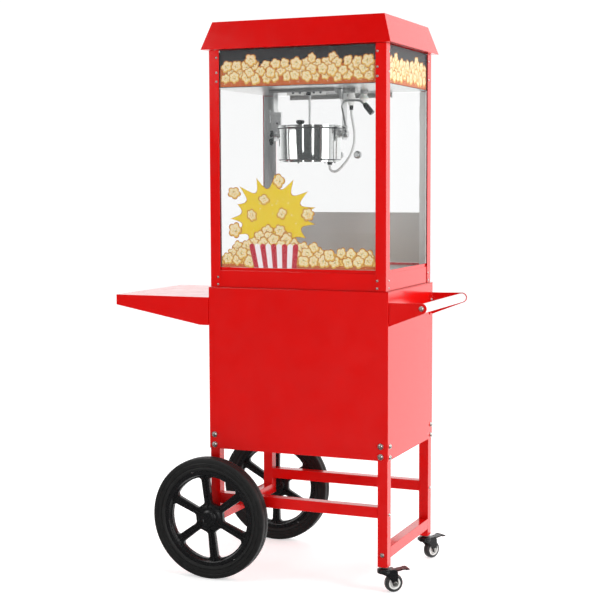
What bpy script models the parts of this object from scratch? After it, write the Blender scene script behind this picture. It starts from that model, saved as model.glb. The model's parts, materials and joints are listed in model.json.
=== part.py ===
"""Popcorn cart: a glass-sided popcorn machine on a two-wheeled, two-caster serving cart.

Metres, +Z up, the front towards -Y. The origin is on the floor, at the centre of the object's box.
Each visible object is one physical piece. Pieces keep GAP to each other, and what moves has its
origin on its joint's axis.
"""

from math import atan2, cos, pi, radians, sin

import bmesh
import bpy
from mathutils import Matrix, Vector

# ---- driving dimensions -------------------------------------------------------------------------
GAP = 0.0003                # between pieces that touch
SHEET = 0.0015              # sheet steel
THIN_SHEET = 0.0012
BEYOND = 0.0200             # how far a cutter runs past what it cuts

CABINET = (0.2640, 0.1945)  # half width and half depth
CABINET_Z = (0.3610, 0.8140)
CABINET_FLOOR_Z = 0.4200
DOOR_HALF, DOOR_Z = 0.2150, (0.4450, 0.7900)    # opening in the back of the cabinet
DOOR_LAP, DOOR_DEPTH = 0.0070, 0.0130

LEG = 0.0280                # square tube
LEG_OUT = (0.2622, 0.1927)  # outer faces of the legs
LEG_Z = (0.0720, 0.4195)
CROSS_RAIL_Z = (0.2050, 0.2350)
RIGHT_RAIL_Z = (0.0940, 0.1240)
AXLE_RAIL_Z = (0.1560, 0.1860)
TUBE_WALL, FOOT = 0.0020, 0.0030

WHEEL_R, WHEEL_WIDTH = 0.1710, 0.0380
AXLE_X = -0.2480            # from the middle of the cabinet
WHEEL_Y = 0.2285            # middle of the tyre
RIM_R, WINDOW_R, HUB_R, CAP_R = 0.1340, 0.1140, 0.0300, 0.0240
SPOKES, SPOKE_WIDTH = 6, 0.0200
SPOKE_ANGLE = {"front": 36.7, "rear": 30.0}
AXLE_R = 0.0080

CASTER_WHEEL_R, CASTER_WHEEL_WIDTH, CASTER_TRAIL = 0.0250, 0.0200, 0.0270
CASTER_HEADING = {"front": 40.0, "rear": 60.0}
KINGPIN_R = 0.0050

SHELF_X = (-0.5580, -0.2645)                    # from the middle of the cabinet
SHELF_HALF, SHELF_TOP, SHELF_LIP, SHELF_DROP = 0.1970, 0.7850, 0.7560, 0.7070
SHELF_FLAT = 0.0270

HANDLE_X, HANDLE_Z, HANDLE_R = 0.3540, 0.7720, 0.0125
HANDLE_HALF = 0.1900        # outer faces of the side plates
HANDLE_PLATE_Z = (0.7220, 0.7850)
HANDLE_END_R = 0.0145
# The middle of the cabinet: the shelf reaches further out than the handle.
CX = -(SHELF_X[0] + HANDLE_X + HANDLE_END_R) / 2

MACHINE = (0.2573, 0.1927)  # outer faces of the corner posts
POST, POST_TOP = 0.0300, 1.4636
BASE_TOP, STRIP_TOP, DECK_Z = 0.8605, 0.8695, 0.8610
GLASS = 0.0030
CEILING_Z, SOCKET_Z = 1.3600, 1.3480
PANEL_TOP = 1.0145          # lower rear panel
ROOF_Z = (1.4640, 1.5400)
ROOF_LOW, ROOF_HIGH = (0.2744, 0.2098), (0.2497, 0.1860)
ROOF_RETURN = (0.2350, 0.1700)                  # opening inside the roof's bottom flange
DRAWER_HALF, DRAWER_Z = 0.1680, (0.8190, 0.8490)

KETTLE = (CX - 0.0300, -0.0200)                 # upright axis of the kettle
KETTLE_R, KETTLE_RIM_R = 0.0880, 0.0910
KETTLE_Z = (1.1580, 1.2575)
TILT_Z, PIVOT_R = 1.2350, 0.0050
HANGER_OUT, HANGER_DEPTH = 0.1035, 0.0300
ROD_R, ROD_TOP = 0.0035, 1.3440
LEAD_R = 0.0035
LEAD_Y = -0.0200
# The kettle's lead, from its plug under the ceiling to the gland under the kettle: x from CX, and z.
LEAD_ROUTE = [
    (0.0945, 1.3010), (0.0950, 1.2900), (0.0975, 1.2760), (0.1005, 1.2600), (0.1030, 1.2450),
    (0.1040, 1.2300), (0.1030, 1.2130), (0.0990, 1.1960), (0.0925, 1.1800), (0.0830, 1.1645),
    (0.0710, 1.1505), (0.0600, 1.1395), (0.0520, 1.1340), (0.0440, 1.1318), (0.0366, 1.1338),
    (0.0317, 1.1384), (0.0300, 1.1440), (0.0300, 1.1497),
]

RED = ("red_enamel", (0.62, 0.01, 0.01), 0.28, 0.0)
STEEL = ("stainless_steel", (0.72, 0.72, 0.72), 0.25, 1.0)
POLISHED = ("polished_steel", (0.82, 0.82, 0.82), 0.08, 1.0)
WHITE_BAR = ("handle_bar", (0.86, 0.86, 0.87), 0.25, 0.3)
RUBBER = ("black_rubber", (0.02, 0.02, 0.02), 0.8, 0.0)
BLACK = ("black_plastic", (0.02, 0.02, 0.02), 0.4, 0.0)
GREY = ("caster_tread", (0.05, 0.05, 0.05), 0.6, 0.0)
CLEAR = ("clear_panel", (0.9, 0.95, 0.95), 0.05, 0.0)
OPAL = ("opal_bulb", (0.9, 0.9, 0.87), 0.4, 0.0)


# ---- tools --------------------------------------------------------------------------------------
def clear_scene():
    for obj in list(bpy.data.objects):
        bpy.data.objects.remove(obj, do_unlink=True)


def material(finish):
    name, colour, roughness, metallic = finish
    made = bpy.data.materials.get(name)
    if made is None:
        made = bpy.data.materials.new(name)
        made.use_nodes = True
        shader = made.node_tree.nodes["Principled BSDF"]
        shader.inputs["Base Color"].default_value = (*colour, 1.0)
        shader.inputs["Roughness"].default_value = roughness
        shader.inputs["Metallic"].default_value = metallic
    return made


def piece(name, bm, finish, origin=(0.0, 0.0, 0.0), smooth=None):
    """An object from a bmesh in world space, with its origin moved to the given point."""
    bmesh.ops.recalc_face_normals(bm, faces=bm.faces)
    bmesh.ops.translate(bm, verts=bm.verts, vec=-Vector(origin))
    mesh = bpy.data.meshes.new(name)
    bm.to_mesh(mesh)
    bm.free()
    mesh.materials.append(material(finish))
    if smooth is not None:
        mesh.shade_smooth()
        mesh.set_sharp_from_angle(angle=radians(smooth))
    obj = bpy.data.objects.new(name, mesh)
    obj.location = origin
    bpy.context.scene.collection.objects.link(obj)
    return obj


def combine(target, bm, operation):
    """A Boolean of the target with a hidden helper."""
    tool = piece(f"{target.name}_{operation.lower()}_{len(target.modifiers)}", bm, STEEL)
    tool.hide_render = True
    tool.display_type = "WIRE"
    modifier = target.modifiers.new(operation.lower(), "BOOLEAN")
    modifier.operation = operation
    modifier.solver = "EXACT"
    modifier.object = tool


def cut(target, bm):
    combine(target, bm, "DIFFERENCE")


def join(target, bm):
    combine(target, bm, "UNION")


def box(low, high, bm=None):
    bm = bm or bmesh.new()
    low, high = Vector(low), Vector(high)
    size = high - low
    place = Matrix.Translation((low + high) / 2) @ Matrix.Diagonal((*size, 1.0))
    bmesh.ops.create_cube(bm, size=1.0, matrix=place)
    return bm


def frustum(low_half, high_half, z, bm=None):
    """A box about the machine's axis whose half sizes differ at its two ends."""
    bm = bm or bmesh.new()
    rings = []
    for half, level in ((low_half, z[0]), (high_half, z[1])):
        corners = ((-1, -1), (1, -1), (1, 1), (-1, 1))
        rings.append([bm.verts.new((CX + sx * half[0], sy * half[1], level)) for sx, sy in corners])
    bm.faces.new(rings[0])
    bm.faces.new(rings[1])
    for i in range(4):
        j = (i + 1) % 4
        bm.faces.new((rings[0][i], rings[0][j], rings[1][j], rings[1][i]))
    return bm


def cylinder(start, end, radius, segments=24, bm=None, end_radius=None):
    bm = bm or bmesh.new()
    start, end = Vector(start), Vector(end)
    turn = (end - start).to_track_quat("Z", "Y").to_matrix().to_4x4()
    bmesh.ops.create_cone(
        bm, cap_ends=True, segments=segments, radius1=radius,
        radius2=radius if end_radius is None else end_radius,
        depth=(end - start).length, matrix=Matrix.Translation((start + end) / 2) @ turn,
    )
    return bm


def prism(outline, axis, low, high, bm=None):
    """An outline in the plane across the axis, extruded along it. For Y its points are (x, z)."""
    bm = bm or bmesh.new()

    def lift(a, b, c):
        return {"X": (c, a, b), "Y": (a, c, b), "Z": (a, b, c)}[axis]

    face = bm.faces.new([bm.verts.new(lift(a, b, low)) for a, b in outline])
    grown = bmesh.ops.extrude_face_region(bm, geom=[face])["geom"]
    moved = [v for v in grown if isinstance(v, bmesh.types.BMVert)]
    bmesh.ops.translate(bm, verts=moved, vec=Vector(lift(0.0, 0.0, high - low)))
    return bm


def turned(profile, centre, axis, segments, ring=False):
    """A profile of (radius, height) points spun about an axis. A ring's profile is a closed loop."""
    bm = bmesh.new()
    centre = Vector(centre)
    across = Vector((1, 0, 0))
    along = {"Y": Vector((0, 1, 0)), "Z": Vector((0, 0, 1))}[axis]
    verts = [bm.verts.new(centre + across * r + along * h) for r, h in profile]
    pairs = list(zip(verts, verts[1:])) + ([(verts[-1], verts[0])] if ring else [])
    edges = [bm.edges.new(pair) for pair in pairs]
    bmesh.ops.spin(
        bm, geom=verts + edges, cent=centre, axis=along, angle=2 * pi, steps=segments, use_merge=True
    )
    bmesh.ops.remove_doubles(bm, verts=bm.verts, dist=1e-6)
    return bm


def arc(centre, radius, start, end, steps):
    """Points of an arc, with the angles in degrees."""
    angles = [radians(start + (end - start) * i / steps) for i in range(steps + 1)]
    return [(centre[0] + radius * cos(a), centre[1] + radius * sin(a)) for a in angles]


def smooth_route(points, step):
    """Points about a step apart on the Catmull-Rom curve through the given points."""
    points = [Vector(p) for p in points]
    padded = [2 * points[0] - points[1], *points, 2 * points[-1] - points[-2]]
    fine = []
    for a, b, c, d in zip(padded, padded[1:], padded[2:], padded[3:]):
        for i in range(16):
            t = i / 16
            fine.append(0.5 * ((2 * b) + (c - a) * t + (2 * a - 5 * b + 4 * c - d) * t * t
                               + (3 * b - a - 3 * c + d) * t ** 3))
    fine.append(points[-1])
    length = sum((q - p).length for p, q in zip(fine, fine[1:]))
    count = max(2, round(length / step))
    wanted = [length * i / count for i in range(1, count)]
    kept, run = [fine[0]], 0.0
    for p, q in zip(fine, fine[1:]):
        part = (q - p).length
        while wanted and run + part >= wanted[0]:
            kept.append(p.lerp(q, (wanted.pop(0) - run) / part))
        run += part
    return [*kept, fine[-1]]


def tube_along(name, points, radius, finish, resolution=2):
    """A curve object with a round section and closed ends."""
    curve = bpy.data.curves.new(name, "CURVE")
    curve.dimensions = "3D"
    curve.bevel_depth = radius
    curve.bevel_resolution = resolution
    curve.use_fill_caps = True
    spline = curve.splines.new("POLY")
    spline.points.add(len(points) - 1)
    for point, place in zip(spline.points, points):
        point.co = (*place, 1.0)
    curve.materials.append(material(finish))
    obj = bpy.data.objects.new(name, curve)
    bpy.context.scene.collection.objects.link(obj)
    return obj


def bent_rod(points, radius, sides, bm=None):
    """A round rod along a bent line, as one closed mesh."""
    bm = bm or bmesh.new()
    points = [Vector(p) for p in points]
    side = None
    rings = []
    for i, p in enumerate(points):
        before = points[max(i - 1, 0)]
        after = points[min(i + 1, len(points) - 1)]
        along = (after - before).normalized()
        if side is None:
            side = along.orthogonal().normalized()
        side = (side - along * side.dot(along)).normalized()
        other = along.cross(side)
        turn = [(cos(2 * pi * k / sides), sin(2 * pi * k / sides)) for k in range(sides)]
        rings.append([bm.verts.new(p + radius * (side * c + other * s)) for c, s in turn])
    for ring, following in zip(rings, rings[1:]):
        for k in range(sides):
            m = (k + 1) % sides
            bm.faces.new((ring[k], ring[m], following[m], following[k]))
    bm.faces.new(rings[0])
    bm.faces.new(rings[-1])
    return bm


# ---- cart frame ---------------------------------------------------------------------------------
def leg(name, sx, sy):
    """A square tube with a closed foot and an open top. A right leg reaches down to its caster and
    takes the kingpin; a left one ends below the axle, level with the axle rail."""
    foot = AXLE_RAIL_Z[0] if sx < 0 else LEG_Z[0]
    outer_x, outer_y = CX + sx * LEG_OUT[0], sy * LEG_OUT[1]
    inner_x, inner_y = outer_x - sx * LEG, outer_y - sy * LEG
    low = (min(outer_x, inner_x), min(outer_y, inner_y))
    high = (max(outer_x, inner_x), max(outer_y, inner_y))
    obj = piece(name, box((*low, foot), (*high, LEG_Z[1])), RED)
    hollow_low = (low[0] + TUBE_WALL, low[1] + TUBE_WALL, foot + FOOT)
    hollow_high = (high[0] - TUBE_WALL, high[1] - TUBE_WALL, LEG_Z[1] + BEYOND)
    cut(obj, box(hollow_low, hollow_high))
    if sx < 0:
        start = (CX + AXLE_X, low[1] - BEYOND, WHEEL_R)
        end = (CX + AXLE_X, high[1] + BEYOND, WHEEL_R)
        cut(obj, cylinder(start, end, AXLE_R + GAP, 20))
    else:
        centre = ((low[0] + high[0]) / 2, (low[1] + high[1]) / 2)
        start, end = (*centre, foot - BEYOND), (*centre, foot + BEYOND)
        cut(obj, cylinder(start, end, KINGPIN_R + GAP, 16))


def rail(name, low, high, along):
    """A square tube that is open at its two ends."""
    obj = piece(name, box(low, high), RED)
    inset = [-BEYOND if axis == along else TUBE_WALL for axis in range(3)]
    hollow_low = [edge + inward for edge, inward in zip(low, inset)]
    hollow_high = [edge - inward for edge, inward in zip(high, inset)]
    cut(obj, box(hollow_low, hollow_high))


def frame_tubes():
    for side, sx in (("left", -1), ("right", 1)):
        for end, sy in (("front", -1), ("rear", 1)):
            leg(f"leg_{end}_{side}", sx, sy)
    inner = (LEG_OUT[0] - LEG - GAP, LEG_OUT[1] - LEG - GAP)
    for end, sy in (("front", -1), ("rear", 1)):
        ys = sorted((sy * LEG_OUT[1], sy * (LEG_OUT[1] - LEG)))
        low, high = (CX - inner[0], ys[0], CROSS_RAIL_Z[0]), (CX + inner[0], ys[1], CROSS_RAIL_Z[1])
        rail(f"rail_{end}", low, high, 0)
    for side, sx, z in (("left", -1, AXLE_RAIL_Z), ("right", 1, RIGHT_RAIL_Z)):
        xs = sorted((CX + sx * LEG_OUT[0], CX + sx * (LEG_OUT[0] - LEG)))
        rail(f"rail_{side}", (xs[0], -inner[1], z[0]), (xs[1], inner[1], z[1]), 1)


def wheel_axle():
    reach = WHEEL_Y + WHEEL_WIDTH / 2 - 0.006
    axle = cylinder((CX + AXLE_X, -reach, WHEEL_R), (CX + AXLE_X, reach, WHEEL_R), AXLE_R, 20)
    piece("wheel_axle", axle, STEEL, smooth=40)


def big_wheel(end, sy):
    """A ribbed black wheel of six spokes, with its rubber tyre."""
    centre = (CX + AXLE_X, sy * WHEEL_Y, WHEEL_R)
    half = WHEEL_WIDTH / 2
    seat = RIM_R + GAP
    tyre = [
        (seat, -half + 0.004), (seat + 0.010, -half), (WHEEL_R - 0.005, -half + 0.001),
        (WHEEL_R - 0.001, -half + 0.005), (WHEEL_R, 0.0), (WHEEL_R - 0.001, half - 0.005),
        (WHEEL_R - 0.005, half - 0.001), (seat + 0.010, half), (seat, half - 0.004),
    ]
    piece(f"tyre_{end}", turned(tyre, centre, "Y", 32, ring=True), RUBBER, centre, smooth=50)
    web, out = 0.007, half - 0.001
    bore = AXLE_R + GAP
    rim = [
        (bore, -sy * out), (HUB_R, -sy * out), (HUB_R + 0.004, -sy * web), (WINDOW_R - 0.002, -sy * web),
        (WINDOW_R + 0.004, -sy * 0.014), (RIM_R, -sy * 0.015), (RIM_R, sy * 0.015),
        (WINDOW_R + 0.004, sy * 0.014), (WINDOW_R - 0.002, sy * web), (HUB_R + 0.004, sy * web),
        (CAP_R, sy * out), (bore, sy * out),
    ]
    obj = piece(f"rim_{end}", turned(rim, centre, "Y", 32, ring=True), BLACK, centre, smooth=30)
    windows = bmesh.new()
    near = 0.046
    spread_out = 180 / SPOKES - 180 / pi * (SPOKE_WIDTH / 2 + 0.004) / WINDOW_R
    spread_in = 180 / SPOKES - 180 / pi * SPOKE_WIDTH / 2 / near
    hub = (centre[0], centre[2])
    for i in range(SPOKES):
        middle = SPOKE_ANGLE[end] + 360 / SPOKES * (i + 0.5)
        outline = arc(hub, WINDOW_R - 0.003, middle - spread_out, middle + spread_out, 6)
        outline += arc(hub, near, middle + spread_in, middle - spread_in, 2)
        prism(outline, "Y", centre[1] - WHEEL_WIDTH, centre[1] + WHEEL_WIDTH, windows)
    cut(obj, windows)


# ---- casters ------------------------------------------------------------------------------------
def caster(end, sy):
    """A swivel caster whose fork trails behind its kingpin, with a wheel and a brake pedal."""
    pin = Vector((CX + LEG_OUT[0] - LEG / 2, sy * (LEG_OUT[1] - LEG / 2), 0.0))
    heading = radians(CASTER_HEADING[end])
    along = Vector((cos(heading), sin(heading), 0.0))
    side = Vector((sin(heading), -cos(heading), 0.0))
    wheel_centre = pin + CASTER_TRAIL * along + Vector((0.0, 0.0, CASTER_WHEEL_R))
    turn = Matrix(((along.x, side.x, 0.0), (along.y, side.y, 0.0), (0.0, 0.0, 1.0)))

    def at(s, t, z):
        """A point a distance along the heading and to its side from the kingpin."""
        return turn @ Vector((s, t, z)) + pin

    def slab(outline, t_low, t_high):
        """An outline of (s, z) points, extruded to the side."""
        bm = prism(outline, "Y", t_low, t_high)
        bmesh.ops.transform(bm, matrix=Matrix.Translation(pin) @ turn.to_4x4(), verts=bm.verts)
        return bm

    plate_in, plate_out = CASTER_WHEEL_WIDTH / 2 + 0.003, CASTER_WHEEL_WIDTH / 2 + 0.0055
    housing = [
        (0.0, 0.0530), (0.0165, 0.0530), (0.0190, 0.0560), (0.0190, 0.0640), (0.0150, 0.0680),
        (0.0, 0.0680),
    ]
    fork = piece(f"caster_fork_{end}", turned(housing, pin, "Z", 20), BLACK, pin, smooth=40)
    join(fork, cylinder(pin + Vector((0, 0, 0.060)), pin + Vector((0, 0, 0.086)), KINGPIN_R, 16))
    cheek = [(0.0, 0.0545), (0.0, 0.0640), (0.0300, 0.0640), (0.0360, 0.0500)]
    cheek += [(s, z) for s, z in arc((CASTER_TRAIL, CASTER_WHEEL_R), 0.0075, 0, -180, 5)]
    cheek += [(0.0060, 0.0440)]
    for t_low, t_high in ((-plate_out, -plate_in), (plate_in, plate_out)):
        join(fork, slab(cheek, t_low, t_high))
    bolt = 0.0035
    bolt_reach = side * (plate_out + 0.002)
    join(fork, cylinder(wheel_centre - bolt_reach, wheel_centre + bolt_reach, bolt, 12))

    half = CASTER_WHEEL_WIDTH / 2
    tread = [
        (bolt + GAP, -half), (0.0155, -half), (0.0225, -half + 0.001), (CASTER_WHEEL_R, -half + 0.005),
        (CASTER_WHEEL_R, half - 0.005), (0.0225, half - 0.001), (0.0155, half), (bolt + GAP, half),
    ]
    bm = turned(tread, (0.0, 0.0, 0.0), "Y", 24, ring=True)
    bmesh.ops.transform(bm, matrix=Matrix.Translation(wheel_centre) @ turn.to_4x4(), verts=bm.verts)
    piece(f"caster_wheel_{end}", bm, GREY, wheel_centre, smooth=35)

    pivot = at(0.0240, 0.0, 0.0585)
    lever = [
        (0.0207, 0.0565), (0.0300, 0.0565), (0.0500, 0.0600), (0.0680, 0.0610), (0.0690, 0.0640),
        (0.0500, 0.0635), (0.0300, 0.0610), (0.0207, 0.0605),
    ]
    pedal = piece(f"brake_pedal_{end}", slab(lever, -0.0125, 0.0125), BLACK, pivot)
    tip = [(0.0560, 0.0608), (0.0690, 0.0614), (0.0690, 0.0636), (0.0560, 0.0633)]
    join(pedal, slab(tip, -0.0175, 0.0175))


# ---- cabinet ------------------------------------------------------------------------------------
def cabinet():
    wx, wy = CABINET
    shell_top = CABINET_Z[1] - SHEET - GAP
    shell = piece("cabinet_shell", box((CX - wx, -wy, CABINET_Z[0]), (CX + wx, wy, shell_top)), RED)
    low, high = CABINET_Z[0] - BEYOND, CABINET_Z[1] + BEYOND
    cut(shell, box((CX - wx + SHEET, -wy + SHEET, low), (CX + wx - SHEET, wy - SHEET, high)))
    cut(shell, box((CX - DOOR_HALF, wy - BEYOND, DOOR_Z[0]), (CX + DOOR_HALF, wy + BEYOND, DOOR_Z[1])))
    piece("cabinet_top", box((CX - wx, -wy, CABINET_Z[1] - SHEET), (CX + wx, wy, CABINET_Z[1])), RED)
    inner_x, inner_y = wx - SHEET - GAP, wy - SHEET - GAP
    floor = box((CX - inner_x, -inner_y, CABINET_FLOOR_Z), (CX + inner_x, inner_y, CABINET_FLOOR_Z + SHEET))
    piece("cabinet_floor", floor, RED)


def cabinet_door():
    """A flat pan over the opening, hinged at its left edge, with a pull on its right."""
    lap = DOOR_HALF + DOOR_LAP
    y0 = CABINET[1] + 0.0006
    y1 = y0 + DOOR_DEPTH
    low_z, high_z = DOOR_Z[0] - DOOR_LAP, DOOR_Z[1] + DOOR_LAP
    hinge = (CX - lap - 0.0035, y0 + 0.0045, (low_z + high_z) / 2)
    door = piece("cabinet_door", box((CX - lap, y0, low_z), (CX + lap, y1, high_z)), RED, hinge)
    pan_low = (CX - lap + SHEET, y0 - BEYOND, low_z + SHEET)
    cut(door, box(pan_low, (CX + lap - SHEET, y1 - SHEET, high_z - SHEET)))
    pull_x = CX + lap - 0.030
    for z in (hinge[2] - 0.045, hinge[2] + 0.045):
        join(door, cylinder((pull_x, y1 - 0.001, z), (pull_x, y1 + 0.019, z), 0.0045, 12))
    grip_y = y1 + 0.018
    join(door, cylinder((pull_x, grip_y, hinge[2] - 0.055), (pull_x, grip_y, hinge[2] + 0.055), 0.0050, 12))


def side_shelf():
    """A tapered tray upside down, open below, on the cabinet's left side."""
    x0, x1 = CX + SHELF_X[0], CX + SHELF_X[1]
    outline = [
        (x0, SHELF_TOP), (x0, SHELF_LIP), (x1 - SHELF_FLAT, SHELF_DROP), (x1, SHELF_DROP), (x1, SHELF_TOP),
    ]
    shelf = piece("side_shelf", prism(outline, "Y", -SHELF_HALF, SHELF_HALF), RED)
    inner = SHELF_HALF - SHEET
    cut(shelf, box((x0 + SHEET, -inner, SHELF_DROP - BEYOND), (x1 - SHEET, inner, SHELF_TOP - SHEET)))


def push_handle():
    reach = CX + HANDLE_X
    face = CX + CABINET[0] + GAP
    for end, sy in (("front", -1), ("rear", 1)):
        outline = [(face, HANDLE_PLATE_Z[0]), (face, HANDLE_PLATE_Z[1]), (face + 0.030, HANDLE_PLATE_Z[1])]
        outline += arc((reach, HANDLE_Z), HANDLE_END_R, 85, -75, 8)
        ys = sorted((sy * HANDLE_HALF, sy * (HANDLE_HALF - 0.002)))
        plate = piece(f"handle_plate_{end}", prism(outline, "Y", *ys), RED)
        fold = sorted((sy * (HANDLE_HALF - 0.001), sy * (HANDLE_HALF - 0.024)))
        fold_high = (face + 0.002, fold[1], HANDLE_PLATE_Z[1] - 0.004)
        join(plate, box((face, fold[0], HANDLE_PLATE_Z[0]), fold_high))
    half = HANDLE_HALF - 0.002 - GAP
    bar = cylinder((reach, -half, HANDLE_Z), (reach, half, HANDLE_Z), HANDLE_R, 28)
    piece("handle_bar", bar, WHITE_BAR, smooth=40)


# ---- machine body -------------------------------------------------------------------------------
def inside_posts():
    """Half width and half depth of what fits inside the corner posts."""
    return MACHINE[0] - SHEET - GAP, MACHINE[1] - SHEET - GAP


def corner_posts():
    for side, sx in (("left", -1), ("right", 1)):
        for end, sy in (("front", -1), ("rear", 1)):
            x, y = CX + sx * MACHINE[0], sy * MACHINE[1]
            back_x, back_y = x - sx * POST, y - sy * POST
            inner_x, inner_y = x - sx * SHEET, y - sy * SHEET
            outline = [
                (x, y), (back_x, y), (back_x, inner_y), (inner_x, inner_y), (inner_x, back_y), (x, back_y),
            ]
            piece(f"post_{end}_{side}", prism(outline, "Z", CABINET_Z[1] + GAP, POST_TOP), RED)


def machine_base():
    """The pan under the chamber, with a set-back strip, a slot for the drawer and a slotted deck."""
    wx, wy = inside_posts()
    low = CABINET_Z[1] + GAP
    base = piece("machine_base", box((CX - wx, -wy, low), (CX + wx, wy, BASE_TOP)), RED)
    set_back = 0.0020
    strip_x, strip_y = wx - set_back, wy - set_back
    join(base, box((CX - strip_x, -strip_y, low + 0.02), (CX + strip_x, strip_y, STRIP_TOP)))
    wall = set_back + THIN_SHEET
    pan_low = (CX - wx + wall, -wy + wall, low + SHEET)
    cut(base, box(pan_low, (CX + wx - wall, wy - wall, STRIP_TOP + BEYOND)))
    play = 0.001
    slot = DRAWER_HALF + play
    slot_low = (CX - slot, wy - BEYOND, DRAWER_Z[0] - play)
    cut(base, box(slot_low, (CX + slot, wy + BEYOND, DRAWER_Z[1] + play)))
    inner_x, inner_y = wx - wall - GAP, wy - wall - GAP
    plate = box((CX - inner_x, -inner_y, DECK_Z), (CX + inner_x, inner_y, DECK_Z + SHEET))
    deck = piece("deck", plate, STEEL)
    half_width, half_length, pitch, count = 0.0045, 0.0700, 0.0400, 6
    slots = bmesh.new()
    for i in range(count):
        x = CX + pitch * (i - (count - 1) / 2)
        low = (x - half_width, -half_length, DECK_Z - BEYOND)
        box(low, (x + half_width, half_length, DECK_Z + BEYOND), slots)
    cut(deck, slots)


def crumb_drawer():
    """A tray that slides out at the back, with a face that laps its slot and a lip to pull."""
    y0, face = -0.1650, inside_posts()[1] + GAP
    wall, face_half, lip_half = THIN_SHEET, 0.1750, 0.0500
    y1 = face + wall
    low, high = DRAWER_Z
    tray = box((CX - DRAWER_HALF, y0, low), (CX + DRAWER_HALF, y1 - 0.0004, high))
    drawer = piece("crumb_drawer", tray, STEEL)
    inner = DRAWER_HALF - wall
    cut(drawer, box((CX - inner, y0 + wall, low + wall), (CX + inner, face - wall, high + BEYOND)))
    join(drawer, box((CX - face_half, face, low - 0.0020), (CX + face_half, y1, 0.8560)))
    join(drawer, box((CX - lip_half, y1 - 0.0006, 0.8500), (CX + lip_half, y1 + 0.0150, 0.8520)))


def panes():
    """The fixed glass: the front pane runs past the edges of the two side panes."""
    wx, wy = inside_posts()
    low, high = STRIP_TOP + GAP, POST_TOP - 0.001
    front = box((CX - wx + GAP, -wy, low), (CX + wx - GAP, -wy + GLASS, high))
    piece("glass_front", front, CLEAR)
    for side, sx in (("left", -1), ("right", 1)):
        xs = sorted((CX + sx * wx, CX + sx * (wx - GLASS)))
        reach = wy - GLASS - GAP
        piece(f"glass_{side}", box((xs[0], -reach, low), (xs[1], reach, high)), CLEAR)


def rear_wall():
    """The lower steel panel, and the panel above the doors with its rockers and the mains lead's bush."""
    wx, wy = inside_posts()
    reach = wx - GAP
    low = box((CX - reach, wy - THIN_SHEET, STRIP_TOP + GAP), (CX + reach, wy, PANEL_TOP))
    piece("rear_panel", low, STEEL)
    high = box((CX - reach, wy - THIN_SHEET, CEILING_Z + 0.0005), (CX + reach, wy, POST_TOP - 0.001))
    panel = piece("switch_panel", high, RED)
    hole_x, hole_z, rocker_half = 0.0072, 0.0112, 0.0062
    outline = [(-0.0070, -0.0095), (0.0052, -0.0098), (0.0040, 0.0), (0.0020, 0.0098), (-0.0070, 0.0090)]
    holes = bmesh.new()
    for i, name in enumerate(("power", "heat", "light")):
        x, z = CX + 0.120 + 0.034 * i, 1.4120
        box((x - hole_x, wy - BEYOND, z - hole_z), (x + hole_x, wy + BEYOND, z + hole_z), holes)
        pivot = (x, wy - 0.0020, z)
        placed = [(pivot[1] + a, z + b) for a, b in outline]
        rocker = prism(placed, "X", x - rocker_half, x + rocker_half)
        piece(f"rocker_{name}", rocker, BLACK, pivot)
    cut(panel, holes)
    inlet = (CX - 0.190, 1.4120)
    join(panel, cylinder((inlet[0], wy - 0.0010, inlet[1]), (inlet[0], wy + 0.0060, inlet[1]), 0.0090, 16))
    cut(panel, cylinder((inlet[0], wy - BEYOND, inlet[1]), (inlet[0], wy + BEYOND, inlet[1]), 0.0040, 12))


def rear_doors():
    """Two clear doors that meet in the middle and open outwards, each with a knob."""
    wy = inside_posts()[1]
    low, high = PANEL_TOP + 0.0015, CEILING_Z - 0.0020
    edge = MACHINE[0] - POST - 0.0030
    for side, sx in (("left", -1), ("right", 1)):
        hinge = (CX + sx * edge, wy + 0.0055, (low + high) / 2)
        xs = sorted((CX + sx * (edge - 0.001), CX + sx * 0.0006))
        pane = box((xs[0], wy - 0.0030, low), (xs[1], wy + 0.0010, high))
        door = piece(f"rear_door_{side}", pane, CLEAR, hinge)
        for z in (1.0750, 1.2980):
            block = sorted((CX + sx * (edge - 0.0015), CX + sx * (edge - 0.0155)))
            join(door, box((block[0], wy, z - 0.018), (block[1], wy + 0.0080, z + 0.018)))
        x, z, y = CX + sx * 0.0286, 1.1825, wy + 0.0010 + GAP
        knob = [
            (0.0, 0.0), (0.0070, 0.0), (0.0060, 0.006), (0.0120, 0.010), (0.0120, 0.018), (0.0095, 0.020),
            (0.0, 0.020),
        ]
        piece(f"door_knob_{side}", turned(knob, (x, y, z), "Y", 20), STEEL, hinge, smooth=40)


def roof_and_ceiling():
    roof = piece("roof", frustum(ROOF_LOW, ROOF_HIGH, ROOF_Z), RED)
    low = [h - SHEET for h in ROOF_LOW]
    high = [h - SHEET for h in ROOF_HIGH]
    cut(roof, frustum(low, high, (ROOF_Z[0] + SHEET, ROOF_Z[1] - SHEET)))
    cut(roof, frustum(ROOF_RETURN, ROOF_RETURN, (ROOF_Z[0] - BEYOND, ROOF_Z[0] + BEYOND)))
    wx, wy = inside_posts()
    reach_x, reach_y = wx - GLASS - GAP, wy - GLASS - GAP
    plate = box((CX - reach_x, -reach_y, CEILING_Z), (CX + reach_x, reach_y, CEILING_Z + SHEET))
    ceiling = piece("ceiling_panel", plate, STEEL)
    x, y = CX + LEAD_ROUTE[0][0], LEAD_Y
    half_x, half_y = 0.016, 0.013
    socket = box((x - half_x, y - half_y, SOCKET_Z), (x + half_x, y + half_y, CEILING_Z + 0.0005))
    join(ceiling, socket)
    cut(ceiling, cylinder((*KETTLE, CEILING_Z - BEYOND), (*KETTLE, CEILING_Z + BEYOND), 0.0075, 16))


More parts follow.
